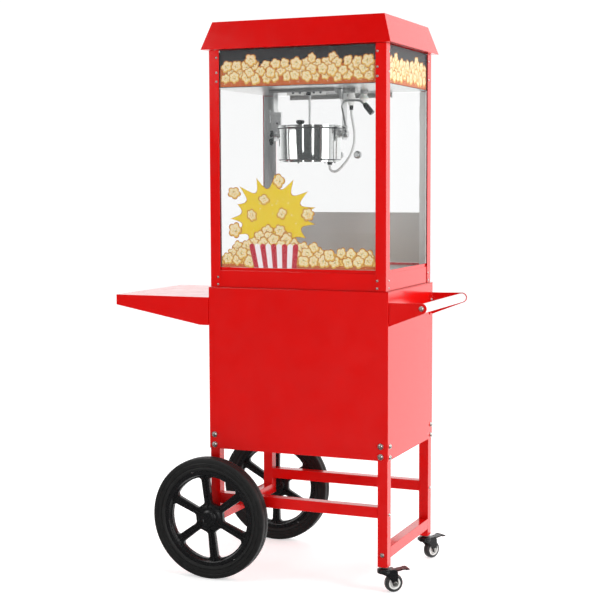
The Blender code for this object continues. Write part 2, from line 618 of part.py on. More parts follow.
# ---- kettle -------------------------------------------------------------------------------------
def kettle_pot():
    """The pot, its heater base, the bar across its rim and the pivots that it tilts on."""
    x, y = KETTLE
    z0, z1 = KETTLE_Z
    wall, floor = 0.0015, z0 + 0.0120
    profile = [
        (0.0, z0), (KETTLE_R - 0.006, z0), (KETTLE_R - 0.006, z0 + 0.0055), (KETTLE_R, z0 + 0.0075),
        (KETTLE_R, z1 - 0.004), (KETTLE_RIM_R, z1 - 0.004), (KETTLE_RIM_R, z1), (KETTLE_R - wall, z1),
        (KETTLE_R - wall, floor), (0.0, floor),
    ]
    origin = (x, y, TILT_Z)
    pot = piece("kettle_pot", turned(profile, (x, y, 0.0), "Z", 36), POLISHED, origin, smooth=35)
    bar, bar_half = KETTLE_R - wall / 2, 0.008
    join(pot, box((x - bar, y - bar_half, z1 - 0.0065), (x + bar, y + bar_half, z1 - 0.0045)))
    cut(pot, cylinder((x, y, z1 - BEYOND), (x, y, z1 + BEYOND), ROD_R + 0.0007, 16))
    for sx in (-1, 1):
        lug = sorted((x + sx * (KETTLE_R - 0.0012), x + sx * (KETTLE_R + 0.0075)))
        join(pot, box((lug[0], y - 0.011, TILT_Z - 0.009), (lug[1], y + 0.011, TILT_Z + 0.014)))
        start, end = (x + sx * 0.0950, y, TILT_Z), (x + sx * 0.1068, y, TILT_Z)
        join(pot, cylinder(start, end, PIVOT_R, 16))
    gland = (CX + LEAD_ROUTE[-1][0], LEAD_Y)
    start, end = (*gland, z0 + 0.001), (*gland, LEAD_ROUTE[-1][1] + 2 * GAP)
    join(pot, cylinder(start, end, 0.0075, 16, end_radius=0.0060))


def kettle_lids():
    x, y = KETTLE
    z = KETTLE_Z[1] + GAP
    near = 0.0012
    start = 180 / pi * atan2(near, KETTLE_RIM_R)
    for end, sy in (("front", -1), ("rear", 1)):
        outline = arc((x, y), KETTLE_RIM_R - 0.0015, sy * start, sy * (180 - start), 20)
        pivot = (x, y + sy * near, z + SHEET / 2)
        lid = piece(f"kettle_lid_{end}", prism(outline, "Z", z, z + SHEET), POLISHED, pivot)
        cut(lid, cylinder((x, y, z - BEYOND), (x, y, z + BEYOND), 0.0115, 20))


def stirrer():
    x, y = KETTLE
    low = KETTLE_Z[0] + 0.0150
    rod = piece("stirrer", cylinder((x, y, low), (x, y, ROD_TOP), ROD_R, 12), STEEL, (x, y, low), smooth=50)
    join(rod, box((x - 0.0740, y - 0.0020, low - 0.0005), (x + 0.0740, y + 0.0020, low + 0.0085)))
    join(rod, cylinder((x, y, low + 0.001), (x, y, low + 0.018), 0.0080, 16))


def hangers():
    x, y = KETTLE
    thick = 0.0025
    for side, sx in (("left", -1), ("right", 1)):
        near = x + sx * HANGER_OUT
        across = sorted((near, near + sx * thick))
        low_y, high_y, top = y - HANGER_DEPTH / 2, y + HANGER_DEPTH / 2, CEILING_Z - GAP
        strap = box((across[0], low_y, 1.2200), (across[1], high_y, top))
        obj = piece(f"hanger_{side}", strap, STEEL)
        foot = sorted((near - sx * 0.020, near + sx * 0.001))
        join(obj, box((foot[0], low_y, top - thick), (foot[1], high_y, top)))
        cut(obj, cylinder((near - BEYOND, y, TILT_Z), (near + BEYOND, y, TILT_Z), PIVOT_R + GAP, 20))


def dump_handle():
    """A bent rod from the right pivot, up in front of the plug, to a grip that points down."""
    x, y = KETTLE
    front = y - 0.0350
    plane = x + 0.1110
    route = [
        (plane, y, TILT_Z), (plane, y - 0.010, TILT_Z + 0.024), (plane, front + 0.004, 1.3000),
        (plane, front, 1.3120), (plane + 0.005, front, 1.3210), (plane + 0.014, front, 1.3250),
        (CX + 0.1250, front, 1.3250), (CX + 0.1350, front, 1.3225), (CX + 0.1420, front, 1.3165),
        (CX + 0.1500, front, 1.3100),
    ]
    pivot = (x, y, TILT_Z)
    handle = piece("dump_handle", bent_rod(smooth_route(route, 0.012), 0.0033, 8), STEEL, pivot, smooth=60)
    join(handle, cylinder((x + 0.1072, y, TILT_Z), (x + 0.1148, y, TILT_Z), 0.0095, 20))
    start, end = Vector((CX + 0.1454, front, 1.3157)), Vector((CX + 0.1685, front, 1.2885))
    join(handle, cylinder(start, end, 0.0082, 20))


def lead_and_plug():
    points = [(CX + dx, LEAD_Y, z) for dx, z in LEAD_ROUTE]
    tube_along("kettle_lead", smooth_route(points, 0.0100), LEAD_R, RUBBER)
    x, _, low = points[0]
    low += GAP
    high = SOCKET_Z - GAP
    body = [
        (0.0, low), (0.0058, low), (0.0068, low + 0.012), (0.0085, low + 0.0125),
        (0.0110, low + 0.020), (0.0110, low + 0.040), (0.0090, high), (0.0, high),
    ]
    piece("kettle_plug", turned(body, (x, LEAD_Y, 0.0), "Z", 16), BLACK, smooth=40)


def drive_and_lamp():
    """The geared motor on the ceiling, the coupler that hangs from it, and the lamp."""
    x, y = KETTLE
    seat = CEILING_Z + SHEET + GAP
    hub = [
        (0.0, ROD_TOP + 0.0007), (0.0100, ROD_TOP + 0.0007), (0.0105, ROD_TOP + 0.0025),
        (0.0105, CEILING_Z - 0.003), (0.0050, CEILING_Z - 0.002), (0.0050, seat + 0.010), (0.0, seat + 0.010),
    ]
    piece("drive_coupler", turned(hub, (x, y, 0.0), "Z", 20), BLACK, (x, y, CEILING_Z), smooth=40)
    gearbox = box((x - 0.045, y - 0.035, seat), (x + 0.030, y + 0.035, seat + 0.024))
    motor = piece("stir_motor", gearbox, STEEL)
    can_x = x - 0.018
    join(motor, cylinder((can_x, y, seat + 0.023), (can_x, y, seat + 0.068), 0.0260, 24))
    cut(motor, cylinder((x, y, seat - BEYOND), (x, y, seat + 0.012), 0.0054, 16))
    bulb = [
        (0.0, 1.3205), (0.0070, 1.3215), (0.0120, 1.3270), (0.0135, 1.3350), (0.0120, 1.3430),
        (0.0085, 1.3500), (0.0085, 1.3520), (0.0110, 1.3520), (0.0110, CEILING_Z - GAP),
        (0.0, CEILING_Z - GAP),
    ]
    piece("lamp", turned(bulb, (CX + 0.1024, 0.0600, 0.0), "Z", 20), OPAL, smooth=40)


def main():
    clear_scene()
    frame_tubes()
    wheel_axle()
    for end, sy in (("front", -1), ("rear", 1)):
        big_wheel(end, sy)
        caster(end, sy)
    cabinet()
    cabinet_door()
    side_shelf()
    push_handle()
    corner_posts()
    machine_base()
    crumb_drawer()
    panes()
    rear_wall()
    rear_doors()
    roof_and_ceiling()
    kettle_pot()
    kettle_lids()
    stirrer()
    hangers()
    dump_handle()
    lead_and_plug()
    drive_and_lamp()


main()
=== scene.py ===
"""Looks of the popcorn cart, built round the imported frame. Metres, +Z up, the front towards -Y."""

import json
import random
from math import atan2, cos, hypot, pi, radians, sin

import bmesh
import bpy
from mathutils import Matrix, Vector


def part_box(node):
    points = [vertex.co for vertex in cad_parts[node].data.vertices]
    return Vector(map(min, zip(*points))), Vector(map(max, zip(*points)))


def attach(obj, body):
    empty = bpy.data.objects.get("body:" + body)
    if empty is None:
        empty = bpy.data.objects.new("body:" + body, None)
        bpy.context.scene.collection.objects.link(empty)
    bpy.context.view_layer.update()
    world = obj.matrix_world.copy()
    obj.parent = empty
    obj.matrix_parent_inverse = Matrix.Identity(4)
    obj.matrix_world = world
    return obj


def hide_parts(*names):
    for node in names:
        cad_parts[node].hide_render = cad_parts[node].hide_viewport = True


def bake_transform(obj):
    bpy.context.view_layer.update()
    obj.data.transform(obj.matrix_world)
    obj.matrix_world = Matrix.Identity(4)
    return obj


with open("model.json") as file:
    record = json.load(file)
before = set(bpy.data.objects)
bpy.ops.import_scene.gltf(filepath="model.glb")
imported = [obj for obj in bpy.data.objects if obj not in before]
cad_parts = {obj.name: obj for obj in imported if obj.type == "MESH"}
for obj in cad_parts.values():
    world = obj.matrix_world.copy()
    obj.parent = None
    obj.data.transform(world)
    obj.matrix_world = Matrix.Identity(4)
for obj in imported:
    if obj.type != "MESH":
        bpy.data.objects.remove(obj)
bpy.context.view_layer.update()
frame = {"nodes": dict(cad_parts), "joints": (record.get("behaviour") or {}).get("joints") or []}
JOINTS = {joint["name"]: joint for joint in frame["joints"]}
SKIN = 0.0003               # how far trim sits off the surface under it
UP, DOWN, FRONT, BACK = (0, 0, 1), (0, 0, -1), (0, -1, 0), (0, 1, 0)


def mm(*points, at=(0.0, 0.0)):
    """Points that are written in millimetres from a place."""
    return [(at[0] + a / 1000, at[1] + b / 1000) for a, b in points]


def middle(node):
    low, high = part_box(node)
    return (low + high) / 2


# ---- camera -------------------------------------------------------------------------------------
def add_camera():
    camera = bpy.data.objects.new("camera", bpy.data.cameras.new("camera"))
    camera.data.lens, camera.data.sensor_width = 82.2, 36.0
    camera.data.clip_end = 100.0
    place = (1.54505, -3.593, 1.1039)
    yaw, pitch, roll = radians(22.939), radians(-4.93), radians(-0.214)
    turn = Matrix.Rotation(yaw, 4, "Z") @ Matrix.Rotation(pi / 2 + pitch, 4, "X") @ Matrix.Rotation(roll,
                                                                                                    4, "Z")
    camera.matrix_world = Matrix.Translation(place) @ turn
    bpy.context.scene.collection.objects.link(camera)
    bpy.context.scene.camera = camera


# ---- materials ----------------------------------------------------------------------------------
def add_node(tree, kind, **values):
    made = tree.nodes.new(kind)
    for name, value in values.items():
        if name in made.inputs:
            made.inputs[name].default_value = value
        else:
            setattr(made, name, value)
    return made


def noise(tree, vector, **values):
    made = add_node(tree, "ShaderNodeTexNoise", **values)
    tree.links.new(vector, made.inputs["Vector"])
    return made.outputs["Fac"]


def ranged(tree, source, from_low, from_high, to_low, to_high, **settings):
    """The source's value carried from one range to another."""
    made = add_node(tree, "ShaderNodeMapRange", **settings)
    ends = {"From Min": from_low, "From Max": from_high, "To Min": to_low, "To Max": to_high}
    for socket, value in ends.items():
        made.inputs[socket].default_value = value
    tree.links.new(source, made.inputs["Value"])
    return made.outputs["Result"]


def worn(tree, colour, wear):
    """The colour, with another on edges, where Pointiness is high. Wear is that colour and its amount."""
    edge = add_node(tree, "ShaderNodeNewGeometry").outputs["Pointiness"]
    mix = add_node(tree, "ShaderNodeMix", data_type="RGBA")
    base, other = [socket for socket in mix.inputs if socket.type == "RGBA"]
    other.default_value = (*wear[0], 1.0)
    tree.links.new(ranged(tree, edge, 0.53, 0.6, 0.0, wear[1]), mix.inputs[0])
    tree.links.new(colour, base)
    return [socket for socket in mix.outputs if socket.type == "RGBA"][0]


def surface(name, colour, second=None, rough=(0.3, 0.4), metallic=0.0, scale=30.0, stretch=(1, 1, 1),
            bump=0.0, bump_scale=400.0, wear=None, **sockets):
    """A Principled material whose colour, roughness and relief vary with noise in the object's own space."""
    made = bpy.data.materials.new(name)
    made.use_nodes = True
    tree = made.node_tree
    link = tree.links.new
    shader = tree.nodes["Principled BSDF"]
    shader.inputs["Metallic"].default_value = metallic
    for socket, value in sockets.items():
        shader.inputs[socket.replace("_", " ")].default_value = value
    mapping = add_node(tree, "ShaderNodeMapping", Scale=stretch)
    link(add_node(tree, "ShaderNodeTexCoord").outputs["Object"], mapping.inputs["Vector"])
    vector = mapping.outputs["Vector"]
    ramp = add_node(tree, "ShaderNodeValToRGB")
    darker = [0.9 * c for c in colour]
    for stop, position, tint in zip(ramp.color_ramp.elements, (0.3, 0.7), (colour, second or darker)):
        stop.position = position
        stop.color = (*tint, 1.0)
    link(noise(tree, vector, Scale=scale, Detail=5.0, Roughness=0.55), ramp.inputs["Fac"])
    tinted = ramp.outputs["Color"]
    link(worn(tree, tinted, wear) if wear else tinted, shader.inputs["Base Color"])
    fine = noise(tree, vector, Scale=scale * 3.1, Detail=4.0)
    link(ranged(tree, fine, 0.3, 0.7, *rough), shader.inputs["Roughness"])
    if bump:
        relief = add_node(tree, "ShaderNodeBump", Strength=bump, Distance=0.0004)
        link(noise(tree, vector, Scale=bump_scale, Detail=3.0), relief.inputs["Height"])
        link(relief.outputs["Normal"], shader.inputs["Normal"])
    return made


def print_ink(name, colour, second=None):
    """Ink on a decal: a little mottled, with a satin film over it."""
    return surface(name, colour, second, rough=(0.38, 0.5), scale=120.0, Specular_IOR_Level=0.25)


RED = surface("red_enamel", (0.68, 0.0022, 0.0016), (0.64, 0.0018, 0.0012), (0.13, 0.2), scale=9.0,
              bump=0.1, bump_scale=900.0, Coat_Weight=0.2, Coat_Roughness=0.06)
STEEL_X = surface("brushed_steel_x", (0.6, 0.6, 0.59), (0.74, 0.74, 0.73), (0.22, 0.36), 1.0, 12.0,
                  stretch=(1, 30, 30), bump=0.15, bump_scale=60.0, Anisotropic=0.5)
STEEL_Z = surface("brushed_steel_z", (0.62, 0.63, 0.63), (0.68, 0.68, 0.68), (0.26, 0.34), 1.0, 12.0,
                  stretch=(30, 30, 1), bump=0.05, bump_scale=60.0, Anisotropic=0.4)
GREY_PANEL = surface("satin_steel", (0.62, 0.61, 0.59), (0.68, 0.67, 0.65), (0.38, 0.48), 0.75, 14.0,
                     stretch=(1, 30, 30), bump=0.1, bump_scale=60.0)
MIRROR = surface("polished_steel", (0.8, 0.81, 0.8), (0.72, 0.74, 0.73), (0.06, 0.12), 1.0, 8.0,
                 stretch=(9, 9, 0.6), bump=0.02, bump_scale=40.0)
ZINC = surface("zinc", (0.62, 0.61, 0.58), (0.75, 0.74, 0.7), (0.18, 0.36), 1.0, 300.0)
DARK_STEEL = surface("dark_steel", (0.1, 0.1, 0.11), (0.16, 0.16, 0.17), (0.25, 0.4), 0.9, 200.0)
BAR = surface("bright_bar", (0.86, 0.86, 0.87), (0.8, 0.8, 0.82), (0.2, 0.3), 0.55, 20.0,
              stretch=(30, 1, 30), bump=0.08, bump_scale=60.0)
RUBBER = surface("tyre_rubber", (0.01, 0.01, 0.01), (0.016, 0.016, 0.016), (0.42, 0.62), scale=60.0,
                 bump=0.5, bump_scale=700.0, wear=((0.05, 0.05, 0.05), 0.3), Specular_IOR_Level=0.35)
BLACK = surface("black_plastic", (0.007, 0.007, 0.008), (0.011, 0.011, 0.012), (0.22, 0.34), scale=50.0,
                bump=0.06, bump_scale=600.0)
TREAD = surface("caster_tread", (0.03, 0.03, 0.031), (0.045, 0.045, 0.045), (0.3, 0.45), scale=90.0,
                bump=0.3, bump_scale=800.0)
WHITE_PLASTIC = surface("white_plastic", (0.8, 0.8, 0.78), (0.74, 0.74, 0.72), (0.28, 0.4), scale=60.0,
                        bump=0.1, bump_scale=600.0)
GREY_PLASTIC = surface("grey_plastic", (0.3, 0.3, 0.3), (0.36, 0.36, 0.35), (0.35, 0.5), scale=60.0,
                       bump=0.15, bump_scale=600.0)
BULB = surface("opal_bulb", (0.9, 0.9, 0.86), (0.86, 0.86, 0.83), (0.25, 0.35), scale=40.0,
               Subsurface_Weight=0.2, Subsurface_Scale=0.01)
SHEATH = surface("braided_sheath", (0.46, 0.46, 0.46), (0.66, 0.66, 0.65), (0.45, 0.6), scale=700.0,
                 bump=0.8, bump_scale=1400.0)
GLASS = surface("clear_panel", (0.46, 0.5, 0.51), (0.44, 0.48, 0.49), (0.015, 0.03), scale=5.0,
                Alpha=0.045, Specular_IOR_Level=0.5)

SLOT_OF = {BLACK: "black_plastic", RUBBER: "tyre_rubber", TREAD: "tyre_rubber", MIRROR: "polished",
           BULB: "opal_bulb", GREY_PLASTIC: "opal_bulb"}
for steel in (STEEL_X, STEEL_Z, ZINC, DARK_STEEL, WHITE_PLASTIC):
    SLOT_OF[steel] = "stainless"

INK_BLACK = print_ink("ink_black", (0.008, 0.01, 0.013))
INK_STRIP = print_ink("ink_strip", (0.5, 0.095, 0.012), (0.56, 0.13, 0.02))
INK_OUTLINE = print_ink("ink_outline", (0.46, 0.13, 0.025))
INK_GOLD = print_ink("ink_gold", (0.72, 0.4, 0.05), (0.78, 0.52, 0.12))
INK_CREAM = print_ink("ink_cream", (0.78, 0.71, 0.4), (0.84, 0.66, 0.42))
INK_OLIVE = print_ink("ink_olive", (0.32, 0.23, 0.05))
INK_YELLOW = print_ink("ink_yellow", (0.8, 0.54, 0.01), (0.78, 0.6, 0.02))
INK_RED = print_ink("ink_red", (0.58, 0.018, 0.035), (0.45, 0.012, 0.03))
INK_WHITE = print_ink("ink_white", (0.9, 0.82, 0.84), (0.84, 0.77, 0.8))
INKS = [INK_OUTLINE, INK_GOLD, INK_CREAM, INK_OLIVE, INK_BLACK, INK_STRIP, INK_YELLOW, INK_RED, INK_WHITE]
OUTLINE, GOLD, CREAM, OLIVE, DARK, STRIP, YELLOW, STRIPE, PALE = range(len(INKS))


# ---- mesh tools ---------------------------------------------------------------------------------
def finish_piece(name, bm, materials, body="cart", smooth=None, bevel=0.0, stands_for=(), slot=None):
    """An object from a bmesh, which rides on a body unless that is None. Bevel rounds its sharp edges.

    The slot argument is not used."""
    materials = materials if isinstance(materials, list) else [materials]
    slot = slot or SLOT_OF.get(materials[0])
    bmesh.ops.recalc_face_normals(bm, faces=bm.faces)
    mesh = bpy.data.meshes.new(name)
    bm.to_mesh(mesh)
    bm.free()
    for material in materials:
        mesh.materials.append(material)
    obj = bpy.data.objects.new(name, mesh)
    bpy.context.scene.collection.objects.link(obj)
    if smooth is not None:
        mesh.shade_smooth()
        mesh.set_sharp_from_angle(angle=radians(smooth))
    if bevel:
        round_edges(obj, bevel)
    if body:
        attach(obj, body)
    if stands_for:
        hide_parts(*stands_for)
    return obj


def round_edges(obj, width, segments=2):
    modifier = obj.modifiers.new("edges", "BEVEL")
    modifier.width = width
    modifier.segments = segments
    modifier.limit_method = "ANGLE"
    modifier.angle_limit = radians(38)


def box(bm, low, high):
    low, high = Vector(low), Vector(high)
    place = Matrix.Translation((low + high) / 2) @ Matrix.Diagonal((*(high - low), 1.0))
    bmesh.ops.create_cube(bm, size=1.0, matrix=place)


def rod(bm, start, end, radius, segments=24):
    start, end = Vector(start), Vector(end)
    turn = (end - start).to_track_quat("Z", "Y").to_matrix().to_4x4()
    place = Matrix.Translation((start + end) / 2) @ turn
    bmesh.ops.create_cone(bm, cap_ends=True, segments=segments, radius1=radius, radius2=radius,
                          depth=(end - start).length, matrix=place)


def spun(bm, profile, centre, axis, segments=64):
    """A closed body turned from (radius, height) points, in rings, about an axis through the centre."""
    centre, axis = Vector(centre), Vector(axis).normalized()
    side = axis.orthogonal().normalized()
    other = axis.cross(side)
    rings = []
    for radius, height in profile:
        base = centre + axis * height
        if radius < 1e-7:
            rings.append([bm.verts.new(base)])
        else:
            turns = [2 * pi * k / segments for k in range(segments)]
            rings.append([bm.verts.new(base + radius * (side * cos(a) + other * sin(a))) for a in turns])
    faces = []
    for ring, following in zip(rings, rings[1:] + [rings[0]]):
        if len(ring) == 1 and len(following) == 1:
            continue
        for k in range(segments):
            m = (k + 1) % segments
            corners = [ring[k % len(ring)], ring[m % len(ring)], following[m % len(following)],
                       following[k % len(following)]]
            distinct = [v for i, v in enumerate(corners) if v not in corners[:i]]
            faces.append(bm.faces.new(distinct))
    return faces


def turned(bm, profile, centre, axis, segments):
    """As spun, for a profile that this closes to the axis at both ends."""
    return spun(bm, [(0.0, profile[0][1]), *profile, (0.0, profile[-1][1])], centre, axis, segments)


def slab(bm, outline, place, low, high):
    """An outline of (a, b) points carried to space by place(a, b, height), from low to high."""
    bottom = [bm.verts.new(place(a, b, low)) for a, b in outline]
    top = [bm.verts.new(place(a, b, high)) for a, b in outline]
    bm.faces.new(bottom)
    bm.faces.new(list(reversed(top)))
    count = len(outline)
    for i in range(count):
        j = (i + 1) % count
        bm.faces.new((bottom[i], top[i], top[j], bottom[j]))


def along_y(a, b, height):
    return Vector((a, height, b))


def along_z(a, b, height):
    return Vector((a, b, height))


def rounded(outline, radius, corners, steps=5):
    """The outline with the corners at the given places turned into arcs."""
    made = []
    count = len(outline)
    for i, point in enumerate(outline):
        if i not in corners:
            made.append(point)
            continue
        here = Vector(point)
        before = (Vector(outline[i - 1]) - here).normalized()
        after = (Vector(outline[(i + 1) % count]) - here).normalized()
        half = before.angle(after) / 2
        reach = radius / max(1e-6, abs(sin(half) / cos(half)))
        start, end = here + before * reach, here + after * reach
        centre = here + (before + after).normalized() * (radius / sin(half))
        for k in range(steps + 1):
            arm = (start - centre).lerp(end - centre, k / steps).normalized()
            made.append(tuple(centre + arm * radius))
    return made


def arc(centre, radius, start, end, steps):
    angles = [radians(start + (end - start) * i / steps) for i in range(steps + 1)]
    return [(centre[0] + radius * cos(a), centre[1] + radius * sin(a)) for a in angles]


def smooth_line(points, steps=10):
    """The Catmull-Rom curve through the points."""
    points = [Vector(p) for p in points]
    padded = [2 * points[0] - points[1], *points, 2 * points[-1] - points[-2]]
    fine = []
    for a, b, c, d in zip(padded, padded[1:], padded[2:], padded[3:]):
        for i in range(steps):
            t = i / steps
            square, cube = 2 * a - 5 * b + 4 * c - d, 3 * b - a - 3 * c + d
            fine.append(0.5 * (2 * b + (c - a) * t + square * t * t + cube * t ** 3))
    return [*fine, points[-1]]


def wire(bm, points, radius, sides=12):
    """A round rod along a line of points, closed at both ends."""
    points = [Vector(p) for p in points]
    side = None
    rings = []
    for i, p in enumerate(points):
        along = (points[min(i + 1, len(points) - 1)] - points[max(i - 1, 0)]).normalized()
        side = along.orthogonal() if side is None else side - along * side.dot(along)
        side.normalize()
        other = along.cross(side)
        turns = [2 * pi * k / sides for k in range(sides)]
        rings.append([bm.verts.new(p + radius * (side * cos(a) + other * sin(a))) for a in turns])
    for ring, following in zip(rings, rings[1:]):
        for k in range(sides):
            m = (k + 1) % sides
            bm.faces.new((ring[k], ring[m], following[m], following[k]))
    bm.faces.new(rings[0])
    bm.faces.new(rings[-1])


# ---- the kettle's lead --------------------------------------------------------------------------
CX = middle("cabinet_top").x
LEAD_Y = -0.02
LEAD_R = 0.0035
LEAD_ROUTE = mm((94.5, 1301), (95, 1290), (97.5, 1276), (100.5, 1260), (103, 1245), (104, 1230),
                (103, 1213), (99, 1196), (92.5, 1180), (83, 1164.5), (71, 1150.5), (60, 1139.5),
                (52, 1134), (44, 1131.8), (36.6, 1133.8), (31.7, 1138.4), (30, 1144), (30, 1149.7))


def kettle_lead():
    """The lead, which hangs from the ceiling's socket."""
    points = smooth_line([(CX + dx, LEAD_Y, z) for dx, z in LEAD_ROUTE])
    length = sum((q - p).length for p, q in zip(points, points[1:]))
    bm = bmesh.new()
    wire(bm, points, LEAD_R, 20)
    obj = finish_piece("lead", bm, SHEATH, None, smooth=50)
    still, moving = (CX + 0.0945, LEAD_Y, 1.27), (CX + 0.03, LEAD_Y, 1.15)
    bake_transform(obj)
    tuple(still)
    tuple(moving)
    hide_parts("kettle_lead")
    tuple(points[0])
    [tuple(p) for p in points]


def plug_and_socket():
    """The lead's plug: a white body with ribbed sides, and a black strain relief below it."""
    low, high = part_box("kettle_plug")
    x, y = middle("kettle_plug").x, LEAD_Y
    bm = bmesh.new()
    pitch = 0.0026
    relief = [(0.0, low.z)]
    for i in range(5):
        relief += mm((5.2, 0), (5.2, 1.4), (4.6, 1.6), (4.6, 2.5), at=(0.0002 * i, low.z + pitch * i))
    relief += [(0.0, low.z + 0.013)]
    for face in spun(bm, relief, (x, y, 0), UP, 32):
        face.material_index = 1
    z = low.z + 0.0125
    body = mm((7.4, 0), (8.6, 2), (10, 9), (10.8, 14), (10.8, 24), (9.8, 27), at=(0.0, z)) + mm((9, -3),
                                                                                                (9, 0),
                                                                                                at=(0.0,
                                                                                                    high.z))
    turned(bm, body, (x, y, 0), UP, 32)
    for inner, outer in ((-0.0113, -0.01), (0.01, 0.0113)):
        for i in range(5):
            z0 = z + 0.011 + pitch * i
            box(bm, (x + inner, y - 0.005, z0), (x + outer, y + 0.005, z0 + 0.0012))
    return finish_piece("plug", bm, [WHITE_PLASTIC, BLACK], smooth=35, stands_for=["kettle_plug"],
                        slot="black_plastic")


# ---- sheet metal from the frame -----------------------------------------------------------------
def dress(node, material, width):
    """Gives a CAD node its finish, and rounds its folds with modifiers that leave its mesh alone."""
    obj = frame["nodes"][node]
    obj.data.materials.clear()
    obj.data.materials.append(material)
    weld = obj.modifiers.new("weld", "WELD")
    weld.merge_threshold = 0.00001
    planar = obj.modifiers.new("planar", "DECIMATE")
    planar.decimate_type = "DISSOLVE"
    planar.angle_limit = radians(1)
    round_edges(obj, width)


def dress_frame():
    red = ["cabinet_shell", "cabinet_top", "cabinet_floor", "cabinet_door", "side_shelf",
           "handle_plate_front", "handle_plate_rear", "machine_base", "switch_panel", "roof"]
    for end in ("front", "rear"):
        for side in ("left", "right"):
            red += [f"leg_{end}_{side}", f"post_{end}_{side}"]
    red += [f"rail_{side}" for side in ("front", "rear", "left", "right")]
    for node in red:
        dress(node, RED, 0.0004 if node in ("cabinet_floor", "cabinet_top", "switch_panel") else 0.0006)
    for material, width, nodes in (
        (STEEL_X, 0.0003, ("deck", "crumb_drawer", "ceiling_panel", "stir_motor")),
        (GREY_PANEL, 0.0003, ("rear_panel",)),
        (STEEL_Z, 0.0003, ("hanger_left", "hanger_right")),
        (BLACK, 0.0004, ("rocker_power", "rocker_heat", "rocker_light")),
        (GLASS, 0.0003, ("glass_front", "glass_left", "glass_right", "rear_door_left", "rear_door_right")),
    ):
        for node in nodes:
            dress(node, material, width)


# ---- wheels -------------------------------------------------------------------------------------
def big_wheel(end, sy):
    """A rubber tyre on a ribbed moulded wheel, with its hub cap outside."""
    joint = JOINTS[f"wheel_{end}_spin"]
    centre = Vector(joint["pos_m"])
    body = joint["child"]
    low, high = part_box(f"tyre_{end}")
    radius = (high.z - low.z) / 2
    half = (high.y - low.y) / 2
    seat = 0.1343
    out = Vector((0, sy, 0))
    bm = bmesh.new()
    side = mm((0, -4.5), (3, -1.2), (7.5, -0.2), (9.5, -1), (10.5, -2.2), (12, -0.6), (20, -0.2),
              (22.5, -1.6), (24, -0.3), at=(seat, half))
    crown = mm((-7, -0.6), (-3.5, -1.4), (-1.4, -3.2), (-0.4, -7), at=(radius, half))
    groove = mm((-0.6, 4.2), (-2, 3.6), (-2, 2), (-0.1, 1.4), at=(radius, 0.0))
    right = side + crown + groove
    left = [(r, -h) for r, h in reversed(right)]
    spun(bm, right + left, centre, out, 96)
    finish_piece(f"wheel_tyre_{end}", bm, RUBBER, body, smooth=30, stands_for=[f"tyre_{end}"])
    moulded_rim(end, sy, centre, body, half)


def moulded_rim(end, sy, centre, body, half):
    """The wheel's channel, web with six rounded windows, ribbed spokes and domed cap."""
    window, near, spokes, spoke = 0.1165, 0.043, 6, 0.02
    web, out = 0.006, half - 0.001
    phase = {"front": 36.7, "rear": 30.0}[end]
    axis = Vector((0, sy, 0))
    bm = bmesh.new()
    bore = 0.0084
    ring = [(bore, -out), (0.028, -out), (0.03, -out + 0.002), (0.032, -web), (0.119, -web),
            (0.1225, -0.014), (0.124, -0.015), (0.1338, -0.015), (0.1338, 0.015), (0.124, 0.015),
            (0.1225, 0.014), (0.119, web), (0.036, web), (0.031, 0.0105), (bore, 0.0105)]
    spun(bm, ring, centre, axis, 96)
    rim = finish_piece(f"wheel_rim_{end}", bm, BLACK, body, stands_for=[f"rim_{end}"])
    cutter = bmesh.new()
    hub = (centre.x, centre.z)
    for i in range(spokes):
        facing = phase + 360 / spokes * (i + 0.5)
        wide = 180 / spokes - 180 / pi * (spoke / 2 + 0.002) / window
        narrow = 180 / spokes - 180 / pi * spoke / 2 / near
        outer = arc(hub, window, facing - wide, facing + wide, 8)
        inner = arc(hub, near, facing + narrow, facing - narrow, 2)
        keep = outer[:1] + outer[2:-2] + outer[-1:] + [inner[0], inner[-1]]
        corners = [0, len(keep) - 3, len(keep) - 2, len(keep) - 1]
        slab(cutter, rounded(keep, 0.0085, corners), along_y, centre.y - 0.03, centre.y + 0.03)
    bmesh.ops.recalc_face_normals(cutter, faces=cutter.faces)
    tool_mesh = bpy.data.meshes.new("cutter")
    cutter.to_mesh(tool_mesh)
    cutter.free()
    tool = bpy.data.objects.new("cutter", tool_mesh)
    bpy.context.scene.collection.objects.link(tool)
    modifier = rim.modifiers.new("windows", "BOOLEAN")
    modifier.operation = "DIFFERENCE"
    modifier.solver = "EXACT"
    modifier.object = tool
    round_edges(rim, 0.0012, 3)
    apply_modifiers(rim, 30)
    bpy.data.objects.remove(tool)
    ribs = bmesh.new()
    for i in range(spokes):
        angle = radians(phase + 360 / spokes * i)
        along = Vector((cos(angle), 0, sin(angle)))
        side = Vector((-sin(angle), 0, cos(angle)))
        for face in (-1, 1):
            outline = [(0.028, web - 0.001), (0.028, out - 0.004), (0.042, 0.012), (0.114, 0.0105),
                       (0.123, 0.0135), (0.1235, web - 0.001)]

            def place(a, b, height):
                return centre + along * a + Vector((0, face * b, 0)) + side * height

            slab(ribs, outline, place, -0.0012, 0.0012)
    finish_piece(f"wheel_ribs_{end}", ribs, BLACK, body, bevel=0.0005)
    cap = bmesh.new()
    dome = mm((0, -1), (13, -1.2), (19, -2.5), (22.5, -5), (23.8, -8), at=(0.0, out)) + mm((24.5, 9.5),
                                                                                           (0, 9.5))
    spun(cap, dome, centre, axis, 48)
    ring = mm((15, -1.3), (15.6, -0.4), (16.4, -0.4), (17, -1.6), at=(0.0, out))
    spun(cap, ring, centre, axis, 48)
    finish_piece(f"wheel_cap_{end}", cap, BLACK, body, smooth=25)


